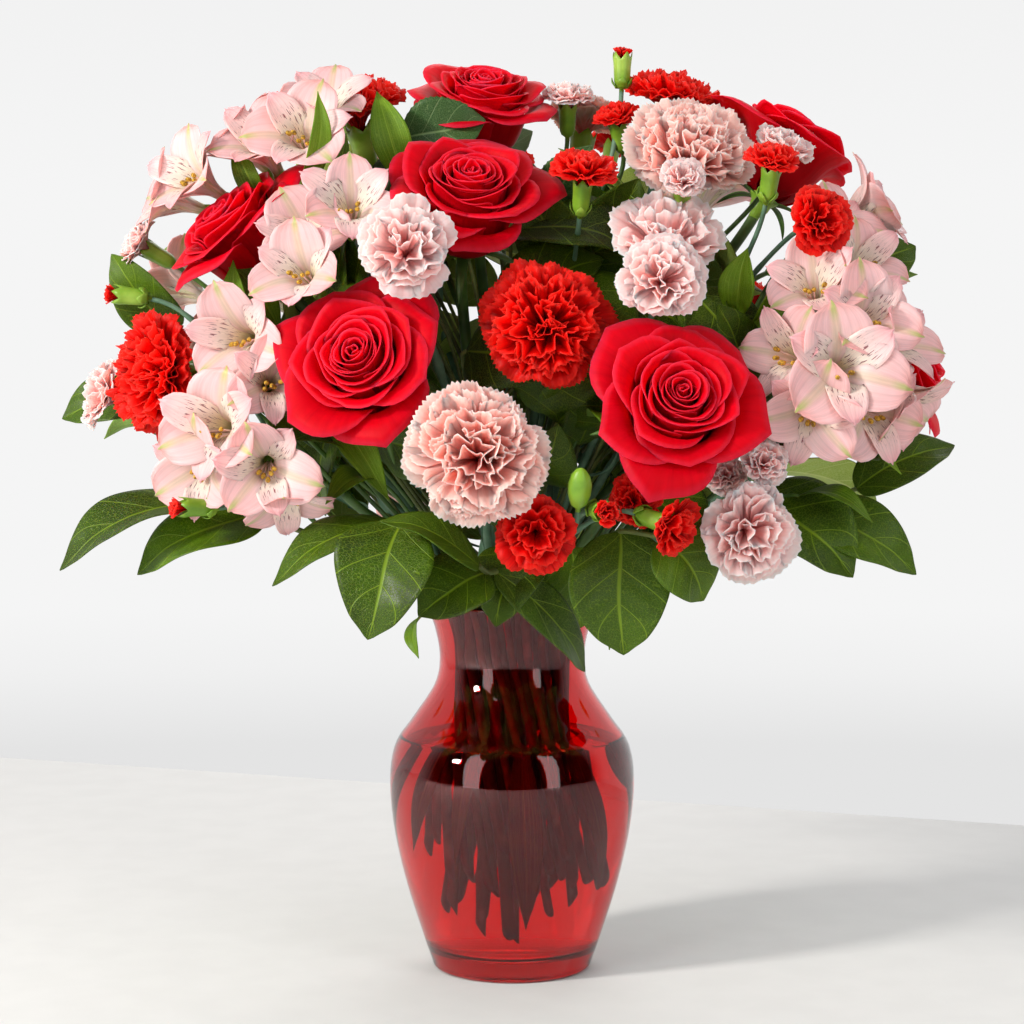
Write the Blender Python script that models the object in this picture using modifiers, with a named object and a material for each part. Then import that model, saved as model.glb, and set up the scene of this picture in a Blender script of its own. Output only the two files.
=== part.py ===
"""Carnations, roses and alstroemeria with salal leaves in a ruby glass vase.

The origin is the centre of the vase's foot, +Z is up, and -Y is the side that the bouquet faces.
Every length in this file is in millimetres and is turned into metres where a mesh is made.
Each cut stem crosses the neck in a slot of its own and leans the same way as its neighbours,
so the bunch is a florist's spiral: the stems fan out above the neck and below it.
"""

import math

import bmesh
import bpy
import numpy as np
from mathutils import Matrix, Vector

MM = 0.001
GAP = 0.35  # clear distance between pieces that touch

# Vase: (height, outer radius) down the outside, from the lip to the foot.
VASE_OUTSIDE = (
    (198, 46.5),
    (186, 42.0),
    (170, 39.3),
    (155, 42.0),
    (137, 53.6),
    (122, 63.6),
    (103, 66.5),
    (78, 64.6),
    (49, 58.4),
    (19, 49.2),
    (5, 44.4),
)
VASE_STEPS = 32
VASE_PROFILE_POINTS = 20
WALL = 3.2
FLOOR = 10.0
FOOT_RADIUS = 41.0
WATER_LEVEL = 126.0

# The spiral of stems: (radius, number of slots) of each ring where the stems cross the neck.
NECK_HEIGHT = 172.0
NECK_RINGS = ((0.0, 1), (10.2, 6), (19.8, 13), (29.2, 22))
WATERING_SLOT = math.radians(90)  # the slot of the outer ring left empty, at the back
FAN_DEPTH = 145.0
FAN_OUT = 1.42
FAN_TURN = math.radians(55)
CUT_LOWEST = 15.0
CUT_RISE = 1.2
CUT_STEPS = (0, 13, 5, 26, 2, 19, 9)

# Each bloom is (place of its face, the way it faces, radius).
ROSES = {
    "rose_top": ((-14, -8, 481), (0.1, -0.42, 0.9), 40),
    "rose_upper_centre": ((-20, -86, 427), (0.1, -0.66, 0.75), 44),
    "rose_upper_left": ((-153, -52, 408), (-0.62, -0.3, 0.72), 42),
    "rose_front_left": ((-77, -137, 337), (-0.22, -0.87, 0.43), 44),
    "rose_front_right": ((82, -149, 318), (0.1, -0.87, 0.46), 44),
    "rose_upper_right": ((158, 12, 457), (0.48, 0.12, 0.86), 41),
    "rose_right": ((222, -26, 333), (0.92, -0.2, 0.34), 41),
    "rose_back": ((52, 138, 380), (0.2, 0.86, 0.5), 43),
}
CARNATIONS = {
    "carnation_red_centre": ((17, -126, 352), (0.0, -0.96, 0.26), 33),
    "carnation_red_left": ((-192, -78, 324), (-0.78, -0.6, 0.05), 34),
    "carnation_red_upper_left": ((-87, 0, 478), (-0.2, -0.25, 0.94), 29),
    "carnation_red_upper_right": ((89, 8, 482), (0.2, -0.1, 0.97), 28),
    "carnation_pink_front": ((-18, -166, 288), (-0.06, -0.99, 0.12), 36),
    "carnation_pink_upper_right": ((93, -66, 447), (0.12, -0.74, 0.66), 35),
    "carnation_pink_top": ((42, 38, 472), (0.15, 0.2, 0.96), 24),
    "carnation_pink_back": ((-62, 146, 396), (-0.25, 0.8, 0.55), 34),
    "carnation_red_back": ((150, 112, 352), (0.68, 0.62, 0.4), 33),
}
# Each spray carnation is several small blooms on one forked stem.
SPRAYS = {
    "spray_red_front": (
        ((12, -152, 247), (0.05, -0.99, -0.08), 20),
        ((46, -160, 259), (0.25, -0.95, 0.0), 9),
        ((84, -146, 249), (0.74, -0.6, -0.24), 16),
        ((33, -157, 282), (0.05, -0.5, 0.86), 6),
    ),
    "spray_red_right": (
        ((131, -92, 438), (0.1, -0.4, 0.9), 15),
        ((156, -104, 402), (0.3, -0.93, 0.15), 17),
    ),
    "spray_red_top": (
        ((59, -4, 500), (0.02, -0.05, 1.0), 7),
        ((37, -86, 434), (0.08, -0.4, 0.9), 18),
    ),
    "spray_red_left": (
        ((-172, -104, 258), (-0.9, -0.4, 0.05), 8),
        ((-217, -22, 366), (-0.96, 0.0, 0.12), 8),
    ),
    "spray_pink_left": (((-222, -40, 316), (-0.88, -0.3, 0.3), 20),),
    "spray_pink_upper_left": (((-52, -136, 389), (0.0, -0.93, 0.32), 24),),
    "spray_pink_upper_right": (
        ((78, -98, 400), (0.06, -0.68, 0.73), 29),
        ((72, -136, 373), (-0.05, -0.97, 0.24), 21),
    ),
    "spray_pink_low_right": (
        ((119, -138, 247), (0.22, -0.96, -0.06), 25),
        ((124, -130, 283), (0.1, -0.95, 0.3), 12),
    ),
}
# Each alstroemeria is an umbel of trumpet florets on one stem.
ALSTROEMERIAS = {
    "alstroemeria_upper_left": (
        ((-108, -70, 450), (-0.1, -0.86, 0.48), 22),
        ((-150, -14, 452), (-0.7, -0.15, 0.7), 19),
        ((-190, -10, 419), (-0.92, -0.25, 0.3), 17),
    ),
    "alstroemeria_middle_left": (
        ((-80, -94, 412), (0.05, -0.86, 0.5), 20),
        ((-106, -116, 378), (-0.3, -0.85, 0.42), 18),
        ((-138, -106, 343), (-0.35, -0.92, 0.05), 20),
    ),
    "alstroemeria_low_left": (
        ((-150, -114, 300), (-0.4, -0.9, 0.15), 23),
        ((-122, -122, 278), (0.0, -0.99, -0.1), 20),
        ((-112, -104, 256), (0.15, -0.4, -0.9), 18),
    ),
    "alstroemeria_right": (
        ((162, -134, 328), (0.15, -0.97, 0.12), 25),
        ((132, -116, 336), (-0.6, -0.75, 0.25), 18),
        ((204, -90, 304), (0.65, -0.45, -0.6), 19),
        ((198, -92, 344), (0.7, -0.6, 0.35), 20),
    ),
    "alstroemeria_upper_right": (
        ((150, -100, 372), (-0.15, -0.82, 0.55), 19),
        ((180, -84, 384), (0.5, -0.6, 0.62), 18),
        ((194, -30, 414), (0.85, -0.2, 0.45), 20),
    ),
    "alstroemeria_back_left": (
        ((-150, 96, 372), (-0.72, 0.58, 0.4), 23),
        ((-122, 92, 420), (-0.4, 0.55, 0.74), 21),
        ((-176, 60, 330), (-0.9, 0.4, 0.1), 21),
    ),
    "alstroemeria_back_right": (
        ((120, 96, 436), (0.45, 0.55, 0.72), 22),
        ((176, 66, 392), (0.85, 0.4, 0.34), 21),
        ((100, 146, 326), (0.4, 0.9, 0.1), 21),
    ),
}
# Each salal branch is leaves on one stem: (leaf base, leaf tip, width, the way its upper side faces).
SALALS = {
    "salal_low_left": (
        ((-128, -62, 252), (-192, -78, 224), 34, (-0.2, -0.65, 0.7)),
        ((-160, -66, 258), (-230, -88, 228), 34, (-0.25, -0.45, 0.85)),
    ),
    "salal_upper_left": (
        ((-186, 8, 316), (-244, 2, 300), 30, (-0.3, -0.85, 0.45)),
        ((-180, -2, 346), (-214, -12, 386), 26, (-0.5, -0.75, 0.3)),
    ),
    "salal_front_left": (
        ((-54, -100, 248), (-118, -128, 224), 28, (-0.35, -0.5, 0.8)),
        ((-54, -128, 252), (-70, -150, 198), 42, (-0.15, -0.93, 0.35)),
    ),
    "salal_front_centre": (
        ((-8, -108, 226), (40, -78, 172), 20, (0.25, -0.85, 0.5)),
        ((-12, -122, 227), (-46, -134, 208), 34, (-0.1, -0.75, 0.65)),
        ((-16, -132, 231), (-62, -148, 256), 20, (0.2, -0.55, 0.8)),
    ),
    "salal_front_right": (
        ((54, -106, 246), (56, -108, 184), 44, (0.05, -0.98, 0.15)),
        ((74, -118, 244), (96, -112, 212), 32, (0.3, -0.93, 0.2)),
    ),
    "salal_right": (
        ((124, -66, 262), (172, -96, 224), 46, (0.2, -0.8, 0.57)),
        ((152, -68, 256), (206, -84, 224), 32, (0.25, -0.8, 0.55)),
        ((178, -56, 264), (230, -50, 288), 26, (0.0, -0.75, 0.65)),
    ),
    "salal_upper_right": (
        ((124, -74, 296), (184, -98, 284), 42, (0.05, -0.55, 0.83)),
        ((116, -66, 326), (104, -98, 358), 24, (0.25, -0.9, 0.3)),
        ((178, -10, 368), (216, -6, 392), 30, (0.2, -0.85, 0.5)),
    ),
    "salal_back_left": (
        ((-44, 98, 240), (-66, 134, 188), 44, (-0.2, 0.9, 0.4)),
        ((-86, 96, 258), (-140, 136, 236), 46, (-0.3, 0.6, 0.75)),
        ((-146, 64, 262), (-208, 76, 244), 40, (-0.5, 0.4, 0.77)),
    ),
    "salal_back_right": (
        ((28, 100, 240), (34, 136, 188), 44, (0.1, 0.92, 0.38)),
        ((82, 96, 256), (136, 134, 228), 46, (0.35, 0.6, 0.72)),
        ((146, 60, 268), (210, 68, 246), 40, (0.5, 0.4, 0.77)),
    ),
}
# How far a stem bows aside, just above the neck, to pass its neighbours.
SWAYS = {
    "rose_front_left_stem": (12, -14, -10),
    "salal_upper_right": (-10, -14, 16),
    "carnation_red_left_stem": (0, -8, 2),
    "salal_front_left": (2, -6, -4),
    "alstroemeria_upper_right": (-6, 10, 14),
}
STEM_RADIUS = {"rose": 3.0, "carnation": 2.3, "spray": 2.1, "alstroemeria": 2.4, "salal": 1.9}
ROSE_DEPTH, CARNATION_DEPTH = 1.15, 0.95  # from a bloom's base to its face, in radii
CALYX = {"rose": (5.6, 9.0), "carnation": (6.4, 24.0)}  # (radius, length)
LEAST_RISE = 58.0  # pulls a low flower's stem up and clear of the lip
NOD_LENGTH = 38.0  # the stretch under a bloom that bends round to face it outwards
FORK_LIFT = 18.0
BRANCH_STEP = 3.6  # between the places where the branches leave the main stem
FORK_SHARE = 0.62  # how far up a forked stem its branches part
LEAF_THICKNESS = 1.0
SIDES = {"stem": 1, "bloom": 2}  # a curve's bevel_resolution: 6 and 8 sides
BLOOM_STEPS = 12

# Each look is (colour, roughness, metallic).
LOOKS = {
    "ruby_glass": ((0.45, 0.01, 0.02, 1.0), 0.03, 0.0),
    "water": ((0.85, 0.9, 0.9, 1.0), 0.02, 0.0),
    "red_petals": ((0.6, 0.01, 0.02, 1.0), 0.55, 0.0),
    "pink_petals": ((0.85, 0.45, 0.45, 1.0), 0.55, 0.0),
    "green": ((0.07, 0.16, 0.03, 1.0), 0.45, 0.0),
}


def clear_scene():
    for thing in list(bpy.data.objects):
        bpy.data.objects.remove(thing)


def new_collection(name):
    group = bpy.data.collections.new(name)
    bpy.context.scene.collection.children.link(group)
    return group


def new_material(name, look):
    """A Principled material with the colour, roughness and metallic value of `look`."""
    colour, roughness, metallic = LOOKS[look]
    made = bpy.data.materials.new(name)
    made.use_nodes = True
    shader = made.node_tree.nodes["Principled BSDF"]
    shader.inputs["Base Color"].default_value = colour
    shader.inputs["Roughness"].default_value = roughness
    shader.inputs["Metallic"].default_value = metallic
    made.diffuse_color = colour
    return made


def new_object(name, data, group, look=None):
    made = bpy.data.objects.new(name, data)
    group.objects.link(made)
    if look:
        made.data.materials.append(new_material(name, look))
    return made


def curve_through(points, count):
    """`count` points along a Catmull-Rom curve through `points`."""
    known = np.array(points, float)
    padded = np.vstack([2 * known[0] - known[1], known, 2 * known[-1] - known[-2]])
    found = []
    for along in np.linspace(0, len(known) - 1, count):
        i = min(int(along), len(known) - 2)
        t = along - i
        a, b, c, d = padded[i : i + 4]
        bend = (2 * a - 5 * b + 4 * c - d) * t**2 + (3 * b - a - 3 * c + d) * t**3
        found.append(b + 0.5 * ((c - a) * t + bend))
    return np.array(found)


def bezier(a, b, c, d, count):
    """`count` points of the cubic Bezier curve with these four control points."""
    t = np.linspace(0, 1, count)[:, None]
    a, b, c, d = (np.array(p, float) for p in (a, b, c, d))
    return a * (1 - t) ** 3 + 3 * b * t * (1 - t) ** 2 + 3 * c * t**2 * (1 - t) + d * t**3


def turned(name, profile, steps, group, look):
    """A solid of revolution about Z, from (radius, height) points that end down the outer side."""
    mesh = bpy.data.meshes.new(name)
    corners = [(radius * MM, 0, height * MM) for radius, height in profile]
    mesh.from_pydata(corners, [(i, i + 1) for i in range(len(corners) - 1)], [])
    made = new_object(name, mesh, group, look)
    screw = made.modifiers.new("Turn", "SCREW")
    screw.angle = 2 * math.pi
    screw.steps = screw.render_steps = steps
    screw.use_merge_vertices = True
    screw.merge_threshold = 0.00001
    screw.use_smooth_shade = True
    return made


def vase_walls():
    """The outer and inner wall, each as (radius, height) points from the lip down."""
    outside = curve_through([(r, z) for z, r in VASE_OUTSIDE], VASE_PROFILE_POINTS)
    along = np.gradient(outside, axis=0)
    inward = np.stack([along[:, 1], -along[:, 0]], axis=1)
    inward /= np.linalg.norm(inward, axis=1)[:, None]
    inside = outside + inward * WALL
    return outside, inside[inside[:, 1] > FLOOR + 4]


def make_vase(group):
    outside, inside = vase_walls()
    lip = (outside[0] + inside[0]) / 2 + (0, 1.2)
    floor_edge = (inside[-1][0] - 5, FLOOR)
    profile = [(0, FLOOR), floor_edge, *inside[::-1], lip, *outside, (FOOT_RADIUS, 0), (0, 0)]
    return turned("vase", profile, VASE_STEPS, group, "ruby_glass")


def inner_radius(height):
    inside = vase_walls()[1][::-1]
    return float(np.interp(height, inside[:, 1], inside[:, 0]))


def make_water(stems, group, tools):
    """The water, with a clear hole around each stem that stands in it."""
    inside = [p for p in vase_walls()[1] if p[1] < WATER_LEVEL - 3]
    edge = inner_radius(WATER_LEVEL)
    sides = [(r - GAP, z) for r, z in [(edge, WATER_LEVEL), *inside]]
    floor_edge = (inside[-1][0] - 5 - GAP, FLOOR + GAP)
    profile = [(0, WATER_LEVEL), *sides, floor_edge, (0, FLOOR + GAP)]
    water = turned("water", profile, VASE_STEPS, group, "water")
    holes = new_collection("water_holes")
    for name, (cut_end, crossing, radius) in stems.items():
        foot = cut_end + (cut_end - crossing).normalized() * GAP
        add_rod("hole_" + name, foot, crossing, radius + GAP, holes)
    cut = water.modifiers.new("Stems", "BOOLEAN")
    cut.operand_type = "COLLECTION"
    cut.collection = holes
    cut.solver = "EXACT"
    tools.children.link(holes)
    bpy.context.scene.collection.children.unlink(holes)


def add_rod(name, start, end, radius, group):
    """A six-sided cutter from start to end whose flats clear a round stem of `radius`."""
    mesh = bpy.data.meshes.new(name)
    shape = bmesh.new()
    wide = radius / math.cos(math.pi / 6) * MM
    long = (end - start).length * MM
    bmesh.ops.create_cone(
        shape, cap_ends=True, segments=6, radius1=wide, radius2=wide, depth=long
    )
    turn = (end - start).to_track_quat("Z", "Y").to_matrix().to_4x4()
    shape.transform(Matrix.Translation((start + end) / 2 * MM) @ turn)
    shape.to_mesh(mesh)
    shape.free()
    as_tool(new_object(name, mesh, group))


def as_tool(thing):
    thing.hide_render = True
    thing.display_type = "WIRE"


def fan(across, height):
    """Where the stem that crosses the neck at `across` is at a lower height: a turned, widened slot."""
    share = (NECK_HEIGHT - height) / FAN_DEPTH
    moved = across * (1 + share * (FAN_OUT * complex(math.cos(FAN_TURN), math.sin(FAN_TURN)) - 1))
    return Vector((moved.real, moved.imag, height))


def neck_slots(tops):
    """A neck slot, as a complex number, for each stem: inner rings for the upright stems."""
    gather = Vector((0, 0, 150))
    lean = {name: (top - gather).angle(Vector((0, 0, 1))) for name, top in tops.items()}
    waiting = sorted(tops, key=lean.get)
    slots = {}
    for radius, count in NECK_RINGS:
        angles = [WATERING_SLOT + 2 * math.pi * i / count for i in range(count)]
        if radius == NECK_RINGS[-1][0]:
            angles = angles[1:]
        ring, waiting = waiting[: len(angles)], waiting[len(angles) :]
        bearing = {name: math.atan2(tops[name].y, tops[name].x) for name in ring}
        ring.sort(key=bearing.get)
        angles.sort(key=lambda a: math.atan2(math.sin(a), math.cos(a)))

        def misfit(shift):
            pairs = zip(ring, angles[shift:] + angles[:shift])
            return sum(1 - math.cos(bearing[name] - angle) for name, angle in pairs)

        shift = min(range(len(angles)), key=misfit)
        for name, angle in zip(ring, angles[shift:] + angles[:shift]):
            slots[name] = complex(radius * math.cos(angle), radius * math.sin(angle))
    return slots


def lower_stem(slot, index):
    """The straight part in the vase: its cut end and where it crosses the neck."""
    cut = CUT_LOWEST + CUT_RISE * abs(slot) + CUT_STEPS[index % len(CUT_STEPS)]
    return fan(slot, cut), fan(slot, NECK_HEIGHT)


def stem_route(name, cut_end, crossing, end, aim, count=9):
    """A straight foot in the vase, then one smooth curve that arrives at `end` along `aim`."""
    reach = (end - crossing).length
    away = (crossing - cut_end).normalized()
    start_pull = crossing + (away * 0.5 + Vector((0, 0, 0.5))) * max(reach * 0.42, LEAST_RISE)
    start_pull += Vector(SWAYS.get(name, (0, 0, 0)))
    end_pull = end - aim * min(reach * 0.3, NOD_LENGTH)
    upper = bezier(crossing, start_pull, end_pull, end, count)
    return [cut_end] + [Vector(p) for p in upper]


def tube(name, route, radii, sides, group, look=None):
    """A round bar along `route` with a radius at each point, as a curve object."""
    curve = bpy.data.curves.new(name, "CURVE")
    curve.dimensions = "3D"
    curve.bevel_depth = MM
    curve.bevel_resolution = sides
    curve.use_fill_caps = True
    line = curve.splines.new("POLY")
    line.points.add(len(route) - 1)
    for point, place, radius in zip(line.points, route, radii):
        point.co = (*(Vector(place) * MM), 1)
        point.radius = radius
    return new_object(name, curve, group, look)


def swelling(end, aim, steps):
    """Points past `end` along `aim`, and their radii, from (distance, radius) steps."""
    return [end + aim * distance for distance, _ in steps], [radius for _, radius in steps]


def flower_stem(name, kind, base, aim, slot, index, group):
    """A stem with its calyx, which ends just under the bloom's base."""
    cut_end, crossing = lower_stem(slot, index)
    calyx_radius, calyx_length = CALYX[kind]
    top = base - aim * GAP
    neck = top - aim * calyx_length
    route = stem_route(name, cut_end, crossing, neck, aim)
    thick = STEM_RADIUS[kind]
    widening = [(calyx_length * 0.25, calyx_radius * 0.9), (calyx_length, calyx_radius)]
    more, more_radii = swelling(neck, aim, widening)
    radii = [thick] * (len(route) - 1) + [thick * 0.85] + more_radii
    tube(name, route + more, radii, SIDES["stem"], group, "green")
    return cut_end, crossing, thick


def bloom(name, base, aim, profile, group, look):
    """A turned bloom whose base is at `base` and which opens along `aim`."""
    made = turned(name, profile, BLOOM_STEPS, group, look)
    made.location = base * MM
    made.rotation_mode = "QUATERNION"
    made.rotation_quaternion = aim.to_track_quat("Z", "Y")
    return made


def rose_profile(radius):
    """A rose from its base to the crown: a deep cup of petals with a low crowned face."""
    depth = ROSE_DEPTH * radius
    shape = [(0, 1.08), (0.42, 1.07), (0.74, 1.0), (0.94, 0.86), (0.99, 0.68), (0.9, 0.42)]
    shape += [(0.66, 0.16), (0.36, 0.02), (0, 0)]
    return [(r * radius, z * depth) for r, z in shape]


def carnation_profile(radius):
    """A carnation from the calyx's mouth: a narrow throat under a full domed head."""
    depth = CARNATION_DEPTH * radius
    shape = [(0, 1.1), (0.5, 1.03), (0.85, 0.84), (1.0, 0.6), (0.9, 0.42), (0.5, 0.25)]
    shape += [(5.4 / radius, 0), (0, 0)]
    return [(r * radius, z * depth) for r, z in shape]


def petals_of(name):
    return "pink_petals" if "pink" in name or "alstroemeria" in name else "red_petals"


def make_flowers(table, kind, depth, profile, slots, numbers, group):
    """The blooms and the stems of the single flowers in `table`."""
    feet = {}
    for name, (place, aim, radius) in table.items():
        facing = Vector(aim).normalized()
        base = Vector(place) - facing * depth * radius
        bloom(name + "_bloom", base, facing, profile(radius), group, petals_of(name))
        feet[name] = flower_stem(
            name + "_stem", kind, base, facing, slots[name], numbers[name], group
        )
    return feet


def as_mesh(thing, group, look=None):
    """The curve `thing` as a welded mesh object of the same name."""
    bpy.context.view_layer.update()
    graph = bpy.context.evaluated_depsgraph_get()
    mesh = bpy.data.meshes.new_from_object(thing.evaluated_get(graph))
    shape = bmesh.new()
    shape.from_mesh(mesh)
    bmesh.ops.remove_doubles(shape, verts=shape.verts, dist=0.00001)
    bmesh.ops.recalc_face_normals(shape, faces=shape.faces)
    shape.to_mesh(mesh)
    shape.free()
    name, place = thing.name, thing.matrix_world.copy()
    bpy.data.objects.remove(thing)
    made = new_object(name, mesh, group, look)
    made.matrix_world = place
    return made


def join(whole, others):
    for other in others:
        as_tool(other)
        union = whole.modifiers.new("Join " + other.name, "BOOLEAN")
        union.operation = "UNION"
        union.solver = "EXACT"
        union.object = other
    return whole


def small_bloom_steps(radius):
    """(distance, radius) of a spray bloom with its calyx, measured from the calyx's foot."""
    calyx = min(4.6, radius * 0.85)
    tall = radius * 0.95
    if radius < 10:  # a bud: the calyx with a tip of petals
        return [(3, calyx), (14, calyx * 1.1), (20, radius), (25, radius * 0.4)]
    return [(4, calyx), (15, calyx), (17 + tall * 0.4, radius), (17 + tall * 0.9, radius * 0.75)]


def floret_steps(radius):
    """(distance, radius) of an alstroemeria trumpet, measured from its foot."""
    return [(3, 3.4), (14, 5.5), (14 + radius * 0.8, radius * 0.72), (18 + radius, radius)]


def forked_flower(name, kind, heads, steps_of, slot, index, group, tools):
    """One stem that forks under several heads, each a swelling at the end of its branch."""
    cut_end, crossing = lower_stem(slot, index)
    thick = STEM_RADIUS[kind]
    feet, aims = [], []
    for place, aim, radius in heads:
        facing = Vector(aim).normalized()
        feet.append(Vector(place) - facing * steps_of(radius)[-1][0])
        aims.append(facing)
    middle = sum(feet, Vector()) / len(feet)
    fork = crossing.lerp(middle, FORK_SHARE) + Vector((0, 0, FORK_LIFT))
    away = (middle - crossing).normalized()
    if len(heads) == 1:
        parts = [stem_route(name, cut_end, crossing, feet[0], aims[0])]
    else:
        main = stem_route(name, cut_end, crossing, fork, away, 6)
        parts = [main]
        for number, (foot, aim) in enumerate(zip(feet, aims)):
            parts.append(branch_route(fork, away, foot, aim, number))
    made = []
    for i, route in enumerate(parts):
        radii = [thick] * len(route)
        head = i if len(heads) == 1 else i - 1
        if head >= 0:
            steps = steps_of(heads[head][2])
            more, more_radii = swelling(feet[head], aims[head], steps)
            if len(heads) > 1:
                radii = [thick * 0.6] * len(route)
            route, radii = route + more, radii + more_radii
        label = name if i == 0 else f"{name}_branch_{i}"
        part = tube(label, route, radii, SIDES["bloom" if head >= 0 else "stem"], group)
        made.append(as_mesh(part, tools) if i else as_mesh(part, group, petals_of(name)))
    join(made[0], made[1:])
    return cut_end, crossing, thick


def branch_route(fork, away, foot, aim, number):
    """A branch that leaves the main stem a little below its end and arrives at `foot`."""
    start = fork - away * (2.0 + BRANCH_STEP * number)
    reach = (foot - start).length
    out = (away + (foot - start).normalized()) / 2
    curve = bezier(start, start + out * reach * 0.35, foot - aim * reach * 0.3, foot, 6)
    return [Vector(p) for p in curve]


def leaf_plate(name, base, tip, width, upper, group):
    """A pointed oval leaf from base to tip, folded a little along its midrib and arched."""
    along = tip - base
    length = along.length
    side = along.cross(Vector(upper)).normalized()
    normal = side.cross(along).normalized()
    mesh = bpy.data.meshes.new(name)
    shape = bmesh.new()
    bmesh.ops.create_grid(shape, x_segments=2, y_segments=5, size=1)
    for vert in shape.verts:
        u, v = vert.co.x, (vert.co.y + 1) / 2
        half = 1.2 + (width / 2 - 1.2) * math.sin(math.pi * v**0.8) ** 0.8
        lift = 0.1 * length * math.sin(math.pi * v) + 0.14 * width * abs(u) * math.sin(math.pi * v)
        vert.co = (base + along * v + side * u * half + normal * lift) * MM
    bmesh.ops.recalc_face_normals(shape, faces=shape.faces)
    shape.to_mesh(mesh)
    shape.free()
    made = new_object(name, mesh, group)
    shell = made.modifiers.new("Blade", "SOLIDIFY")
    shell.thickness = LEAF_THICKNESS * MM
    shell.offset = 0
    return made


def salal_branch(name, leaves, slot, index, group, tools):
    """One woody stem that runs through the feet of its leaves, and the leaves."""
    cut_end, crossing = lower_stem(slot, index)
    thick = STEM_RADIUS["salal"]
    bases = [Vector(leaf[0]) for leaf in leaves]
    first = bases[0]
    heading = (first - crossing).normalized()
    route = stem_route(name, cut_end, crossing, first, heading, 7)
    knots = [route[-2], *bases]
    if len(bases) > 1:
        route = route[:-1] + [Vector(p) for p in curve_through(knots, 3 * len(bases) + 1)][1:]
    radii = [thick] * 3 + [thick * 0.8] * (len(route) - 3)
    whole = as_mesh(tube(name, route, radii, SIDES["stem"], group), group, "green")
    blades = []
    for i, (base, tip, width, upper) in enumerate(leaves):
        blades.append(
            leaf_plate(f"{name}_leaf_{i + 1}", Vector(base), Vector(tip), width, upper, tools)
        )
    join(whole, blades)
    return cut_end, crossing, thick


def stem_tops():
    """Where each stem is headed: its bloom, the middle of its blooms, or its lowest leaf."""
    tops = {}
    for table in (ROSES, CARNATIONS):
        tops.update({name: Vector(row[0]) for name, row in table.items()})
    for table in (SPRAYS, ALSTROEMERIAS):
        for name, rows in table.items():
            tops[name] = sum((Vector(row[0]) for row in rows), Vector()) / len(rows)
    tops.update({name: Vector(leaves[0][0]) for name, leaves in SALALS.items()})
    return tops


def main():
    clear_scene()
    bouquet = new_collection("carnations_in_a_vase")
    tools = new_collection("tools")
    slots = neck_slots(stem_tops())
    numbers = {name: i for i, name in enumerate(sorted(slots))}

    make_vase(bouquet)
    feet = make_flowers(ROSES, "rose", ROSE_DEPTH, rose_profile, slots, numbers, bouquet)
    feet |= make_flowers(
        CARNATIONS, "carnation", CARNATION_DEPTH, carnation_profile, slots, numbers, bouquet
    )
    for kind, table, steps_of in (
        ("spray", SPRAYS, small_bloom_steps),
        ("alstroemeria", ALSTROEMERIAS, floret_steps),
    ):
        for name, heads in table.items():
            feet[name] = forked_flower(
                name, kind, heads, steps_of, slots[name], numbers[name], bouquet, tools
            )
    for name, leaves in SALALS.items():
        feet[name] = salal_branch(name, leaves, slots[name], numbers[name], bouquet, tools)
    make_water(feet, bouquet, tools)


main()
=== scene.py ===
import math

import bmesh
import bpy
import numpy as np
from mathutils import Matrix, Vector


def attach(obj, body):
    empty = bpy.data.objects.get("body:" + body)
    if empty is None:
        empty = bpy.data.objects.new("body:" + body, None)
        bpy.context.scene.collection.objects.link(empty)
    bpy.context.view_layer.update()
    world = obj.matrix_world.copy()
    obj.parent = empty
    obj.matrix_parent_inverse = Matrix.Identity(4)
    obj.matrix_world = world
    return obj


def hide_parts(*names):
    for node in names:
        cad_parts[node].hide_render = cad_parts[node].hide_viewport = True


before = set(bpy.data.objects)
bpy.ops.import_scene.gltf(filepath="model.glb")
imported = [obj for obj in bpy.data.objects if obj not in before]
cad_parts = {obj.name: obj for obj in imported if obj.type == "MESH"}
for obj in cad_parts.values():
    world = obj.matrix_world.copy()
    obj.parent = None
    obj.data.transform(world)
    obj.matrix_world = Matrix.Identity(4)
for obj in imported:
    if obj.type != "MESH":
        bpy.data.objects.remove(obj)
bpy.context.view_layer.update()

MM = 0.001
GOLDEN = math.radians(137.508)
SLANT = 1.8
ANY_PHASE = 6.28  # a random phase is anything up to this, about a full turn

# ---------------------------------------------------------------- sizes and places, in mm

VASE_OUTSIDE = (
    (198, 46.5), (186, 42.0), (170, 39.3), (155, 42.0), (137, 53.6), (122, 63.6),
    (103, 66.5), (78, 64.6), (49, 58.4), (19, 49.2), (5, 44.4),
)
WALL = 3.2
FLOOR = 10.0
FOOT_RADIUS = 41.0
WATER_LEVEL = 126.0

NECK_HEIGHT = 172.0
NECK_RINGS = ((0.0, 1), (10.2, 6), (19.8, 13), (29.2, 22))
WATERING_SLOT = math.radians(90)
FAN_DEPTH = 145.0
FAN_OUT = 1.42
FAN_TURN = math.radians(55)
CUT_LOWEST = 15.0
CUT_RISE = 1.2
CUT_STEPS = (0, 13, 5, 26, 2, 19, 9)
SWAYS = {
    "rose_front_left_stem": (12, -14, -10),
    "salal_upper_right": (-10, -14, 16),
    "carnation_red_left_stem": (0, -8, 2),
    "salal_front_left": (2, -6, -4),
    "alstroemeria_upper_right": (-6, 10, 14),
}
STEM_RADIUS = {"rose": 3.0, "carnation": 2.3, "spray": 2.1, "alstroemeria": 2.4, "salal": 1.9}
ROSE_DEPTH, CARNATION_DEPTH = 1.15, 0.95
ROSE_HIP = 9.0
CALYX_RADIUS, CALYX_LENGTH = 6.4, 24.0
LEAST_RISE = 58.0
NOD_LENGTH = 38.0
FORK_LIFT = 18.0
BRANCH_STEP = 3.6
FORK_SHARE = 0.62

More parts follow.
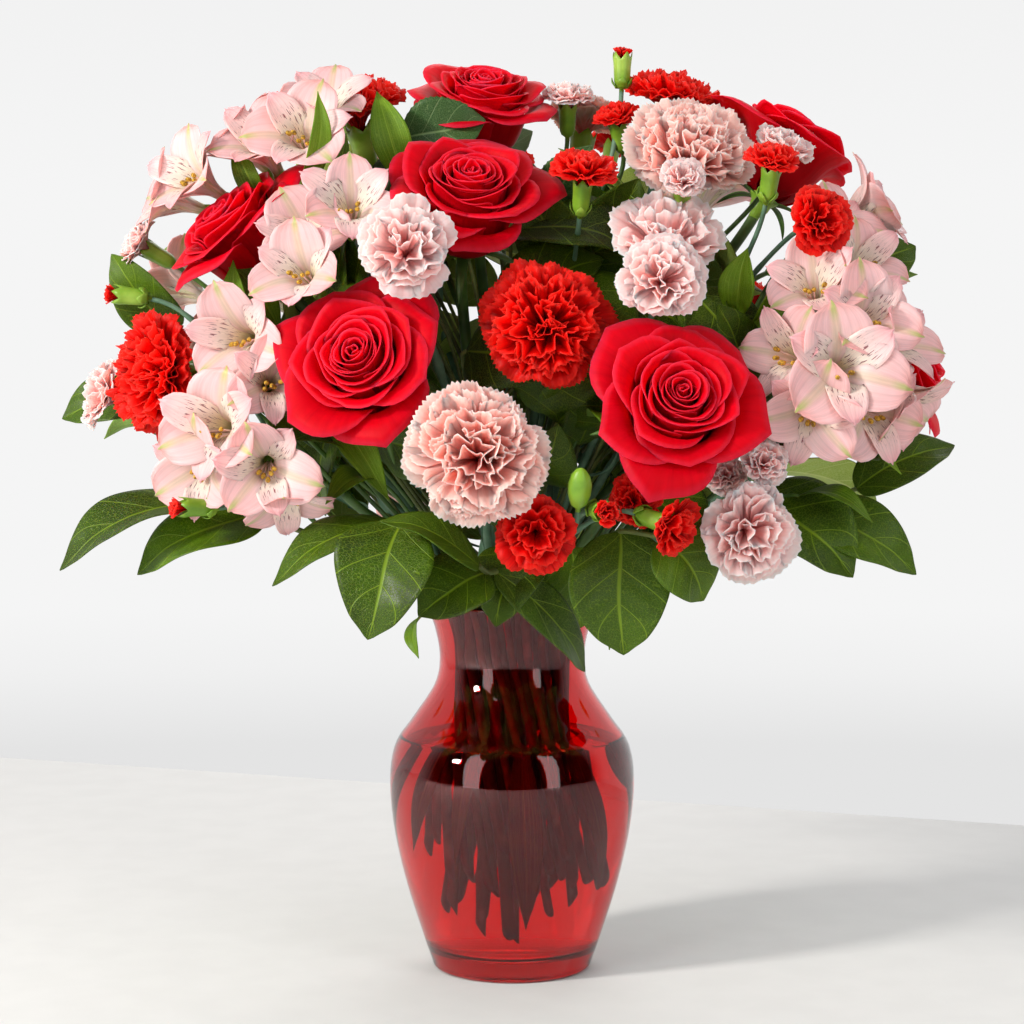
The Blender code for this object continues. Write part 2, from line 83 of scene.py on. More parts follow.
# Each bloom is (place of its face, the way it faces, radius).
ROSES = {
    "rose_top": ((-14, -8, 481), (0.1, -0.42, 0.9), 40),
    "rose_upper_centre": ((-20, -86, 427), (0.1, -0.66, 0.75), 44),
    "rose_upper_left": ((-153, -52, 408), (-0.62, -0.3, 0.72), 42),
    "rose_front_left": ((-77, -137, 337), (-0.22, -0.87, 0.43), 44),
    "rose_front_right": ((82, -149, 318), (0.1, -0.87, 0.46), 44),
    "rose_upper_right": ((158, 12, 457), (0.48, 0.12, 0.86), 41),
    "rose_right": ((222, -26, 333), (0.92, -0.2, 0.34), 41),
    "rose_back": ((52, 138, 380), (0.2, 0.86, 0.5), 43),
}
CARNATIONS = {
    "carnation_red_centre": ((17, -126, 352), (0.0, -0.96, 0.26), 33),
    "carnation_red_left": ((-192, -78, 324), (-0.78, -0.6, 0.05), 34),
    "carnation_red_upper_left": ((-87, 0, 478), (-0.2, -0.25, 0.94), 29),
    "carnation_red_upper_right": ((89, 8, 482), (0.2, -0.1, 0.97), 28),
    "carnation_pink_front": ((-18, -166, 288), (-0.06, -0.99, 0.12), 36),
    "carnation_pink_upper_right": ((93, -66, 447), (0.12, -0.74, 0.66), 35),
    "carnation_pink_top": ((42, 38, 472), (0.15, 0.2, 0.96), 24),
    "carnation_pink_back": ((-62, 146, 396), (-0.25, 0.8, 0.55), 34),
    "carnation_red_back": ((150, 112, 352), (0.68, 0.62, 0.4), 33),
}
SPRAYS = {
    "spray_red_front": (
        ((12, -152, 247), (0.05, -0.99, -0.08), 20),
        ((46, -160, 259), (0.25, -0.95, 0.0), 9),
        ((84, -146, 249), (0.74, -0.6, -0.24), 16),
        ((33, -157, 282), (0.05, -0.5, 0.86), 6),
    ),
    "spray_red_right": (
        ((131, -92, 438), (0.1, -0.4, 0.9), 15),
        ((156, -104, 402), (0.3, -0.93, 0.15), 17),
    ),
    "spray_red_top": (
        ((59, -4, 500), (0.02, -0.05, 1.0), 7),
        ((37, -86, 434), (0.08, -0.4, 0.9), 18),
    ),
    "spray_red_left": (
        ((-172, -104, 258), (-0.9, -0.4, 0.05), 8),
        ((-217, -22, 366), (-0.96, 0.0, 0.12), 8),
    ),
    "spray_pink_left": (((-222, -40, 316), (-0.88, -0.3, 0.3), 20),),
    "spray_pink_upper_left": (((-52, -136, 389), (0.0, -0.93, 0.32), 24),),
    "spray_pink_upper_right": (
        ((78, -98, 400), (0.06, -0.68, 0.73), 29),
        ((72, -136, 373), (-0.05, -0.97, 0.24), 21),
    ),
    "spray_pink_low_right": (
        ((119, -138, 247), (0.22, -0.96, -0.06), 25),
        ((124, -130, 283), (0.1, -0.95, 0.3), 12),
    ),
}
ALSTROEMERIAS = {
    "alstroemeria_upper_left": (
        ((-108, -70, 450), (-0.1, -0.86, 0.48), 22),
        ((-150, -14, 452), (-0.7, -0.15, 0.7), 19),
        ((-190, -10, 419), (-0.92, -0.25, 0.3), 17),
    ),
    "alstroemeria_middle_left": (
        ((-80, -94, 412), (0.05, -0.86, 0.5), 20),
        ((-106, -116, 378), (-0.3, -0.85, 0.42), 18),
        ((-138, -106, 343), (-0.35, -0.92, 0.05), 20),
    ),
    "alstroemeria_low_left": (
        ((-150, -114, 300), (-0.4, -0.9, 0.15), 23),
        ((-122, -122, 278), (0.0, -0.99, -0.1), 20),
        ((-112, -104, 256), (0.15, -0.4, -0.9), 18),
    ),
    "alstroemeria_right": (
        ((162, -134, 328), (0.15, -0.97, 0.12), 25),
        ((132, -116, 336), (-0.6, -0.75, 0.25), 18),
        ((204, -90, 304), (0.65, -0.45, -0.6), 19),
        ((198, -92, 344), (0.7, -0.6, 0.35), 20),
    ),
    "alstroemeria_upper_right": (
        ((150, -100, 372), (-0.15, -0.82, 0.55), 19),
        ((180, -84, 384), (0.5, -0.6, 0.62), 18),
        ((194, -30, 414), (0.85, -0.2, 0.45), 20),
    ),
    "alstroemeria_back_left": (
        ((-150, 96, 372), (-0.72, 0.58, 0.4), 23),
        ((-122, 92, 420), (-0.4, 0.55, 0.74), 21),
        ((-176, 60, 330), (-0.9, 0.4, 0.1), 21),
    ),
    "alstroemeria_back_right": (
        ((120, 96, 436), (0.45, 0.55, 0.72), 22),
        ((176, 66, 392), (0.85, 0.4, 0.34), 21),
        ((100, 146, 326), (0.4, 0.9, 0.1), 21),
    ),
}
# Each salal branch is (leaf base, leaf tip, width, the way its upper side faces).
SALALS = {
    "salal_low_left": (
        ((-128, -62, 252), (-192, -78, 224), 34, (-0.2, -0.65, 0.7)),
        ((-160, -66, 258), (-230, -88, 228), 34, (-0.25, -0.45, 0.85)),
    ),
    "salal_upper_left": (
        ((-186, 8, 316), (-244, 2, 300), 30, (-0.3, -0.85, 0.45)),
        ((-180, -2, 346), (-214, -12, 386), 26, (-0.5, -0.75, 0.3)),
    ),
    "salal_front_left": (
        ((-54, -100, 248), (-118, -128, 224), 28, (-0.35, -0.5, 0.8)),
        ((-54, -128, 252), (-70, -150, 198), 42, (-0.15, -0.93, 0.35)),
    ),
    "salal_front_centre": (
        ((-8, -108, 226), (40, -78, 172), 20, (0.25, -0.85, 0.5)),
        ((-12, -122, 227), (-46, -134, 208), 34, (-0.1, -0.75, 0.65)),
        ((-16, -132, 231), (-62, -148, 256), 20, (0.2, -0.55, 0.8)),
    ),
    "salal_front_right": (
        ((54, -106, 246), (56, -108, 184), 44, (0.05, -0.98, 0.15)),
        ((74, -118, 244), (96, -112, 212), 32, (0.3, -0.93, 0.2)),
    ),
    "salal_right": (
        ((124, -66, 262), (172, -96, 224), 46, (0.2, -0.8, 0.57)),
        ((152, -68, 256), (206, -84, 224), 32, (0.25, -0.8, 0.55)),
        ((178, -56, 264), (230, -50, 288), 26, (0.0, -0.75, 0.65)),
    ),
    "salal_upper_right": (
        ((124, -74, 296), (184, -98, 284), 42, (0.05, -0.55, 0.83)),
        ((116, -66, 326), (104, -98, 358), 24, (0.25, -0.9, 0.3)),
        ((178, -10, 368), (216, -6, 392), 30, (0.2, -0.85, 0.5)),
    ),
    "salal_back_left": (
        ((-44, 98, 240), (-66, 134, 188), 44, (-0.2, 0.9, 0.4)),
        ((-86, 96, 258), (-140, 136, 236), 46, (-0.3, 0.6, 0.75)),
        ((-146, 64, 262), (-208, 76, 244), 40, (-0.5, 0.4, 0.77)),
    ),
    "salal_back_right": (
        ((28, 100, 240), (34, 136, 188), 44, (0.1, 0.92, 0.38)),
        ((82, 96, 256), (136, 134, 228), 46, (0.35, 0.6, 0.72)),
        ((146, 60, 268), (210, 68, 246), 40, (0.5, 0.4, 0.77)),
    ),
}
# Loose foliage on the flowers' own stems: (kind, leaf base, leaf tip, width, upper side).
FOLIAGE = (
    ("lily", (-132, -50, 340), (-142, -76, 380), 17, (-0.3, -0.9, 0.2)),
    ("lily", (-112, -52, 292), (-162, -82, 326), 24, (-0.2, -0.7, 0.6)),
    ("lily", (-98, -56, 306), (-62, -92, 262), 17, (0.0, -0.85, 0.5)),
    ("lily", (-120, -56, 346), (-146, -62, 382), 15, (0.3, -0.8, 0.4)),
    ("lily", (-56, -38, 420), (-70, -40, 470), 18, (0.1, -0.95, 0.1)),
    ("lily", (-127, -28, 409), (-146, -30, 446), 12, (-0.4, -0.8, 0.3)),
    ("lily", (-108, -62, 414), (-97, -72, 466), 11, (0.5, -0.8, 0.1)),
    ("lily", (-92, -66, 416), (-84, -66, 446), 7, (0.3, -0.9, 0.1)),
    ("lily", (122, -70, 346), (145, -84, 381), 16, (0.4, -0.85, 0.2)),
    ("lily", (114, -72, 351), (118, -82, 387), 17, (-0.3, -0.9, 0.3)),
    ("lily", (120, -74, 344), (150, -90, 352), 12, (0.1, -0.8, 0.6)),
    ("lily", (146, -78, 262), (180, -104, 252), 11, (0.2, -0.6, 0.8)),
    ("lily", (150, -60, 296), (196, -92, 276), 13, (0.2, -0.7, 0.7)),
    ("lily", (-40, -92, 300), (-24, -128, 262), 14, (0.1, -0.85, 0.5)),
    ("lily", (-70, -70, 268), (-92, -110, 262), 16, (0.0, -0.6, 0.8)),
    ("lily", (40, -70, 300), (52, -118, 292), 14, (0.1, -0.6, 0.8)),
    ("lily", (-46, -28, 196), (-50, -52, 176), 10, (-0.7, -0.7, 0.1)),
    ("lily", (42, -30, 204), (52, -48, 180), 11, (0.7, -0.7, 0.1)),
    ("salal", (92, -60, 366), (124, -84, 312), 34, (0.2, -0.95, 0.2)),
    ("salal", (26, -38, 374), (8, -44, 424), 30, (-0.2, -0.95, 0.1)),
    ("salal", (40, -30, 378), (66, -42, 424), 34, (0.25, -0.95, 0.1)),
    ("salal", (30, -84, 236), (36, -66, 192), 30, (0.1, -0.98, 0.2)),
    ("salal", (2, -86, 236), (-8, -112, 200), 30, (0.0, -0.9, 0.4)),
    ("salal", (66, -60, 262), (92, -104, 238), 36, (0.2, -0.75, 0.6)),
    ("salal", (-84, -56, 288), (-120, -98, 296), 30, (-0.1, -0.8, 0.6)),
    ("rose", (-58, -30, 446), (-14, -34, 456), 34, (0.05, -0.98, 0.2)),
    ("rose", (-58, -32, 438), (-66, -46, 412), 22, (-0.2, -0.9, 0.4)),
    ("rose", (20, -20, 410), (40, -50, 440), 26, (0.2, -0.9, 0.3)),
    ("salal", (-20, 110, 300), (-26, 150, 346), 40, (-0.1, 0.95, 0.1)),
    ("salal", (10, 112, 290), (30, 152, 262), 42, (0.1, 0.9, 0.4)),
    ("salal", (-90, 84, 320), (-128, 124, 306), 42, (-0.3, 0.85, 0.4)),
    ("salal", (96, 80, 300), (140, 112, 284), 42, (0.4, 0.8, 0.5)),
    ("salal", (-20, 84, 392), (-2, 120, 424), 38, (0.1, 0.95, 0.3)),
    ("salal", (60, 78, 408), (90, 102, 446), 36, (0.3, 0.9, 0.3)),
    ("salal", (-110, 60, 410), (-88, 72, 452), 34, (-0.3, 0.9, 0.3)),
    ("rose", (-16, 60, 430), (10, 84, 460), 30, (0.1, 0.8, 0.6)),
    ("lily", (-60, 112, 330), (-96, 140, 346), 20, (-0.2, 0.9, 0.4)),
    ("lily", (60, 106, 330), (44, 138, 300), 20, (0.1, 0.9, 0.4)),
    ("lily", (150, 60, 340), (192, 82, 348), 20, (0.5, 0.8, 0.3)),
    ("lily", (-168, 40, 384), (-196, 62, 392), 18, (-0.4, 0.8, 0.4)),
    ("lily", (190, 20, 360), (222, 30, 378), 16, (0.6, 0.5, 0.6)),
    ("lily", (-196, 20, 290), (-226, 34, 288), 16, (-0.5, 0.5, 0.7)),
)
# More small blooms on the flowers' own side shoots: (place of its face, the way it faces, radius).
RED_BUDS = (
    ((54, -12, 466), (-0.2, -0.4, 0.9), 13), ((-122, -6, 474), (-0.3, -0.4, 0.87), 14),
    ((-126, -84, 322), (-0.3, -0.9, 0.2), 11), ((60, -124, 264), (0.0, -0.95, 0.3), 14),
    ((118, 22, 470), (0.3, -0.2, 0.93), 13),
    ((-100, 112, 356), (-0.5, 0.8, 0.3), 17), ((4, 148, 336), (0.0, 0.97, 0.2), 18),
    ((92, 128, 268), (0.4, 0.9, 0.0), 17), ((-6, 112, 448), (0.0, 0.7, 0.7), 18),
    ((-206, 14, 338), (-0.9, 0.35, 0.2), 15), ((208, 24, 300), (0.93, 0.3, 0.1), 16),
    ((-92, 118, 282), (-0.5, 0.85, 0.0), 16), ((60, 96, 462), (0.2, 0.5, 0.85), 15),
)
PINK_BUDS = (
    ((86, -94, 426), (0.0, -0.8, 0.6), 12),
    ((144, -44, 448), (0.35, -0.4, 0.85), 17),
    ((104, -116, 276), (-0.2, -0.95, 0.25), 11), ((30, 4, 479), (0.0, -0.3, 0.95), 15),
    ((-20, 150, 292), (-0.1, 0.98, 0.1), 20), ((-126, 122, 318), (-0.6, 0.78, 0.15), 19),
    ((112, 118, 396), (0.4, 0.8, 0.45), 20), ((-66, 90, 452), (-0.3, 0.55, 0.78), 20),
    ((196, 44, 338), (0.9, 0.42, 0.1), 18), ((-206, -8, 396), (-0.85, -0.2, 0.5), 15),
    ((52, 140, 312), (0.2, 0.96, 0.1), 18), ((-96, 40, 474), (-0.4, 0.3, 0.87), 17),
)
LOOSE_FLORETS = (
    ((-132, -44, 448), (-0.3, -0.7, 0.65), 19), ((-172, -36, 430), (-0.65, -0.6, 0.45), 19),
    ((-96, -44, 470), (0.0, -0.6, 0.8), 18), ((-104, -90, 396), (-0.1, -0.9, 0.4), 18),
    ((178, -112, 354), (0.35, -0.85, 0.38), 21), ((146, -126, 304), (-0.1, -0.95, -0.25), 20),
    ((184, -104, 306), (0.5, -0.85, -0.1), 21), ((-160, -100, 276), (-0.45, -0.85, -0.2), 19),
    ((-118, -112, 322), (0.2, -0.95, 0.2), 17), ((172, -58, 402), (0.5, -0.55, 0.66), 18),
    ((-128, 108, 396), (-0.5, 0.75, 0.4), 20), ((150, 104, 296), (0.6, 0.78, 0.0), 20),
    ((-60, 128, 250), (-0.3, 0.9, -0.3), 18), ((-190, 40, 372), (-0.85, 0.4, 0.3), 19),
)
# Leaves left on the stems under water: (leaf base, leaf tip, width, upper side).
SUNK_LEAVES = (
    ((4, -24, 128), (7, -36, 30), 15, (0.1, -1, 0)), ((-22, -16, 132), (-50, -26, 70), 10, (-0.5, -0.9, 0.3)),
    ((22, -16, 130), (46, -26, 52), 9, (0.5, -0.9, 0.2)), ((30, 0, 130), (57, -4, 74), 9, (0.9, -0.3, 0.3)),
    ((-30, -4, 128), (-55, 2, 62), 9, (-0.9, -0.4, 0.3)), ((-12, -20, 134), (-28, -38, 66), 8, (-0.3, -1, 0)),
    ((0, 24, 130), (-8, 36, 48), 12, (0, 1, 0)), ((20, 20, 128), (42, 32, 74), 10, (0.5, 0.9, 0)),
)
# How each kind of leaf is drawn: its (rows, columns), where it is widest, its fullness, its bends
# and side veins, and a rose leaf's saw edge and swept-forward veins.
LEAF_SHAPES = {
    "salal": dict(cells=(45, 17), fall=0.74, wide=1.16, power=0.66, arch=0.1, fold=0.14, veins=6,
                  saw=0, sweep=0),
    "lily": dict(cells=(27, 11), fall=1.0, wide=1.1, power=0.95, arch=0.16, fold=0.2, veins=0,
                 saw=0, sweep=0),
    "rose": dict(cells=(49, 15), fall=0.85, wide=1.0, power=0.72, arch=0.06, fold=0.08, veins=7, saw=0.035,
                 sweep=0.02),
}
# The greens inside the bouquet lie on an egg of this centre and these half-widths.
GREENS_CENTRE = (0.0, -4.0, 326.0)
GREENS_SPAN = (188.0, 118.0, 142.0)
GREENS = 96
GREENS_CELLS = (21, 9)


# ---------------------------------------------------------------- curves and frames

def smooth(x):
    """0 below 0, 1 above 1, and a smooth step 3x^2 - 2x^3 between."""
    x = np.clip(x, 0, 1)
    return x * x * (3 - 2 * x)


def unit(v):
    """The vector, or each of several, at length 1."""
    v = np.asarray(v, float)
    return v / np.linalg.norm(v, axis=-1, keepdims=True)


def through(points, count):
    """`count` points along a Catmull-Rom curve: each stretch is a cubic set by its four nearest points."""
    known = np.array(points, float)
    padded = np.vstack([2 * known[0] - known[1], known, 2 * known[-1] - known[-2]])
    along = np.linspace(0, len(known) - 1, count)
    i = np.minimum(along.astype(int), len(known) - 2)
    t = (along - i)[:, None]
    a, b, c, d = padded[i], padded[i + 1], padded[i + 2], padded[i + 3]
    bend = (2 * a - 5 * b + 4 * c - d) * t**2 + (3 * b - a - 3 * c + d) * t**3
    return b + 0.5 * ((c - a) * t + bend)


def cubic(a, b, c, d, t):
    """The cubic Bezier with control values a, b, c and d, at t."""
    return a * (1 - t) ** 3 + 3 * b * t * (1 - t) ** 2 + 3 * c * t**2 * (1 - t) + d * t**3


def bezier(a, b, c, d, count):
    """`count` points of the cubic Bezier curve with these four control points."""
    return cubic(*(np.asarray(p, float) for p in (a, b, c, d)), np.linspace(0, 1, count)[:, None])


def varied(dice, count):
    """A function that gives each of `count` petals its own random change of the size asked for."""
    return lambda size: dice.normal(0, size, (count, 1, 1))


def stand(points, base, aim, spin=0.0):
    """Local points, whose Z is the bloom's axis, turned to face `aim` and put at `base`."""
    z = unit(aim)
    side = np.cross((0, 0, 1), z)
    x = unit(side) if np.linalg.norm(side) > 0.05 else np.array([1.0, 0, 0])
    y = np.cross(z, x)
    c, s = math.cos(spin), math.sin(spin)
    turned = np.stack([x * c + y * s, y * c - x * s, z])
    return points @ turned + np.asarray(base, float)


# ---------------------------------------------------------------- meshes

def patch(points, look=0, tone=0.5):
    """Grids (count, rows, columns, 3) in mm with one material; tone is one number for each grid."""
    points = np.asarray(points, float)
    points = points[None] if points.ndim == 3 else points
    return points, look, np.broadcast_to(np.asarray(tone, float).reshape(-1), (len(points),))


def piece(name, patches, looks, nodes=(), thickness=0.0, welded=False, under=0):
    """One mesh object from patches: a grid cell is a quad, u runs along columns and v along rows."""
    verts, faces, uvs, tones, marks = [], [], [], [], []
    start = 0
    for points, look, tone in patches:
        n, rows, cols, _ = points.shape
        index = start + np.arange(n * rows * cols).reshape(n, rows, cols)
        quad = [index[:, :-1, :-1], index[:, :-1, 1:], index[:, 1:, 1:], index[:, 1:, :-1]]
        faces.append(np.stack(quad, -1).reshape(-1, 4))
        u, v = np.meshgrid(np.linspace(0, 1, cols), np.linspace(0, 1, rows))
        uv = np.stack([u, v], -1)
        corner = np.stack([uv[:-1, :-1], uv[:-1, 1:], uv[1:, 1:], uv[1:, :-1]], 2)
        uvs.append(np.broadcast_to(corner, (n, *corner.shape)).reshape(-1, 2))
        verts.append(points.reshape(-1, 3))
        tones.append(np.repeat(tone, rows * cols))
        marks.append(np.full(n * (rows - 1) * (cols - 1), look))
        start += n * rows * cols
    verts, faces = np.concatenate(verts) * MM, np.concatenate(faces)
    mesh = bpy.data.meshes.new(name)
    mesh.vertices.add(len(verts))
    mesh.vertices.foreach_set("co", verts.astype(np.float32).ravel())
    mesh.loops.add(faces.size)
    mesh.loops.foreach_set("vertex_index", faces.astype(np.int32).ravel())
    mesh.polygons.add(len(faces))
    mesh.polygons.foreach_set("loop_start", np.arange(0, faces.size, 4, dtype=np.int32))
    mesh.polygons.foreach_set("material_index", np.concatenate(marks).astype(np.int32))
    mesh.update(calc_edges=True)
    mesh.uv_layers.new(name="UVMap").data.foreach_set(
        "uv", np.concatenate(uvs).astype(np.float32).ravel()
    )
    tone = mesh.attributes.new("tone", "FLOAT", "POINT")
    tone.data.foreach_set("value", np.concatenate(tones).astype(np.float32))
    if welded:
        weld(mesh)
    mesh.polygons.foreach_set("use_smooth", np.ones(len(mesh.polygons), bool))
    for look in looks:
        mesh.materials.append(look)
    made = bpy.data.objects.new(name, mesh)
    bpy.context.scene.collection.objects.link(made)
    if thickness:
        shell = made.modifiers.new("Thickness", "SOLIDIFY")
        shell.thickness = thickness * MM
        shell.offset = 0
        shell.material_offset = under
    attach(made, "root")
    if nodes:
        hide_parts(*nodes)
    return made


def weld(mesh):
    """Closes seams and poles by merging points within 0.002 mm, and turns every closed shell outwards."""
    shape = bmesh.new()
    shape.from_mesh(mesh)
    bmesh.ops.remove_doubles(shape, verts=shape.verts, dist=0.000002)
    bmesh.ops.dissolve_degenerate(shape, edges=shape.edges, dist=0.0000005)
    bmesh.ops.recalc_face_normals(shape, faces=shape.faces)
    shape.to_mesh(mesh)
    shape.free()


def lathe(profile, sides=24, ribs=0.0, count=5, teeth=0.0):
    """Radius and height pairs turned about Z; ribs swell the radius by that share `count` times round."""
    profile = np.array(profile, float)
    turn = np.linspace(0, 2 * math.pi, sides + 1)
    swell = 1 + ribs * np.cos(count * turn)
    r = profile[:, 0, None] * swell
    tip = np.abs(np.mod(turn * count / (2 * math.pi), 1) - 0.5) * 2
    rise = (profile[:, 2, None] if profile.shape[1] > 2 else 0) * teeth * tip
    z = np.broadcast_to(profile[:, 1, None], r.shape) + rise
    return np.stack([r * np.cos(turn), r * np.sin(turn), z], -1)


def tube(route, radii, sides=10, slant=0.0):
    """A round bar: a circle of each radius stands square to the route, and both ends close to a point."""
    route = np.asarray(route, float)
    radii = np.broadcast_to(np.asarray(radii, float), (len(route),))
    along = unit(np.gradient(route, axis=0))
    chord = route[-1] - route[0]
    bend = np.cross(chord, route[len(route) // 2] - route[0])
    if np.linalg.norm(bend) < 1e-3 * (chord @ chord):
        bend = np.cross(chord, np.eye(3)[np.argmin(np.abs(chord))])
    side = unit(np.cross(along, unit(bend)))
    other = np.cross(along, side)
    turn = np.linspace(0, 2 * math.pi, sides + 1)
    round_ = np.cos(turn)[:, None] * side[:, None] + np.sin(turn)[:, None] * other[:, None]
    rings = route[:, None] + radii[:, None, None] * round_
    rings[0] += slant * radii[0] * np.cos(turn)[:, None] * along[0]
    ends = np.repeat(route[[0, -1], None], sides + 1, 1)
    return np.concatenate([ends[:1], rings, ends[1:]])


# ---------------------------------------------------------------- petals, leaves and calyxes

def rose_petals(radius, dice, count=34, rows=16, cols=19):
    """Petal k stands k golden angles round, and t runs from 0 at the heart to 1 outside. Seen in
    section it is a Bezier from the hip to a shoulder, then an arc that turns outwards. Shoulder
    radius, lean and arc grow with t. Its rim is a flat gable with a small point in the middle, and
    the arc turns further towards the sides, which fold under. Across, it wraps round the axis."""
    t = np.linspace(0, 1, count)[:, None, None]
    v = np.linspace(0, 1, rows)[None, :, None]
    u = np.linspace(-1, 1, cols)[None, None, :]
    side = np.abs(u)
    vary = varied(dice, count)
    turn = np.arange(count)[:, None, None] * GOLDEN + vary(0.16)
    flare = smooth((t - 0.62) / 0.38)
    depth = ROSE_DEPTH * radius
    shoulder_r = radius * (0.03 + 0.66 * t**1.05) * (1 + vary(0.035))
    shoulder_z = depth * (0.93 - 0.03 * t - 0.25 * t**2.4) + radius * vary(0.015)
    foot_r = radius * 0.05 * (0.3 + t)
    start = np.radians(6 + 74 * t**0.7)
    lean = np.radians(-12 + 36 * t + 26 * flare) + vary(0.06)
    lip = radius * (0.08 + 0.15 * t + 0.17 * flare) * (1 + vary(0.15))
    bow = vary(0.4)
    roll = np.radians(18 + 46 * t + (30 + 85 * t) * side**1.6 + 30 * t * bow * u)

    rim = 1 - 0.17 * side**1.6 - 0.1 * side**5 + (0.015 + 0.035 * t) * np.exp(-side / 0.12)
    s = v * rim
    knee = 0.74
    q = np.clip(s / knee, 0, 1)
    span = np.hypot(shoulder_r - foot_r, shoulder_z)
    pull = (0.4 + 0.22 * t) * span
    a_r, a_z = foot_r + pull * np.sin(start), pull * np.cos(start)
    b_r, b_z = shoulder_r - 0.36 * span * np.sin(lean), shoulder_z - 0.36 * span * np.cos(lean)
    r, z = cubic(foot_r, a_r, b_r, shoulder_r, q), cubic(0, a_z, b_z, shoulder_z, q)
    arc = np.clip((s - knee) / (1 - knee), 0, 1.3)
    curled = lean + roll * arc**1.2
    r = r + lip * arc * np.sin((lean + curled) / 2)
    z = z + lip * arc * np.cos((lean + curled) / 2)

    half = np.minimum(radius * (0.44 + 0.3 * t) / np.maximum(shoulder_r, 1.5), 2.4)
    half = half * (0.4 + 0.6 * smooth(s / 0.55)) * (1 + vary(0.07))
    gather = smooth(s * 1.6)
    r = r * (1 + 0.08 * u * gather) - radius * 0.05 * t * (side * s) ** 2
    wave = radius * (0.014 + 0.03 * t) * s**3
    phase = dice.uniform(0, ANY_PHASE, (count, 1, 1))
    r = r + wave * np.sin(3.4 * u + phase) + 0.5 * wave * np.sin(7.7 * u + 2 * phase)
    z = z + wave * np.sin(4.6 * u + 2 * phase)
    angle = turn + u * half
    return np.stack([r * np.cos(angle), r * np.sin(angle), z], -1), dice.uniform(0, 1, count)


def carnation_petals(radius, dice, count, rows=8, cols=33, spread=104.0, wide=1.0, crimp=1.0):
    """Petal k stands k golden angles round and its tip lies on a flattened ball, further from the
    axis as k grows. Its midline is a Bezier up out of the calyx and out to the tip. It is a narrow
    claw that opens into a broad fan. The fan's ruffle is two sines and a fine ripple across, grows
    as v^1.8, and is deepest in the heart; its last row goes up and down in small cut teeth."""
    k = np.arange(count)[:, None, None]
    t = (k + 0.5) / count
    v = np.linspace(0, 1, rows)[None, :, None]
    u = np.linspace(-1, 1, cols)[None, None, :]
    vary = varied(dice, count)
    turn = k * GOLDEN + vary(0.25)
    tilt = np.radians(4 + (spread - 4) * t**0.78) + vary(0.1)
    ball = radius * (1 + vary(0.08))
    tip_r = 0.95 * ball * np.sin(tilt)
    tip_z = radius * 0.56 + ball * np.where(tilt < math.pi / 2, 0.46, 0.4) * np.cos(tilt)
    foot_r = radius * 0.1 * np.sqrt(t)
    end = tilt * (0.6 + 0.6 * t)
    span = np.hypot(tip_r - foot_r, tip_z)
    teeth = dice.uniform(0.3, 1.0, (count, 1, cols)) * (np.arange(cols) % 2)[None, None, :]
    s = v * (1 - 0.12 * u**2 - 0.08 * u**6) - 0.045 * teeth * (v > 0.999)
    b_r, b_z = tip_r - 0.36 * span * np.sin(end), tip_z - 0.36 * span * np.cos(end)
    r, z = cubic(foot_r, foot_r, b_r, tip_r, s), cubic(0, 0.4 * span, b_z, tip_z, s)
    lean = end * smooth(s * 1.2)
    half = wide * radius * (0.05 + (0.34 + 0.24 * t) * smooth((s - 0.22) / 0.78))
    phase, other = dice.uniform(0, ANY_PHASE, (2, count, 1, 1))
    folds = dice.uniform(1.0, 1.9, (count, 1, 1))
    height = crimp * radius * (0.15 - 0.085 * t) * np.clip(s, 0, 1) ** 1.8
    ruffle = np.sin(folds * math.pi * u + phase) + 0.45 * np.sin(2.6 * folds * math.pi * u + other)
    ruffle = height * (ruffle + 0.16 * np.sin(7.3 * math.pi * u + phase) * s**3)
    across = half * np.sin(1.3 * u) / 1.3
    r = r + ruffle * np.cos(lean) - 0.22 * half * u**2
    z = z - ruffle * np.sin(lean) + 0.4 * height * np.cos(folds * 2.2 * math.pi * u + other)
    x = r * np.cos(turn) - across * np.sin(turn)
    y = r * np.sin(turn) + across * np.cos(turn)
    return np.stack([x, y, z], -1), dice.uniform(0, 1, count)


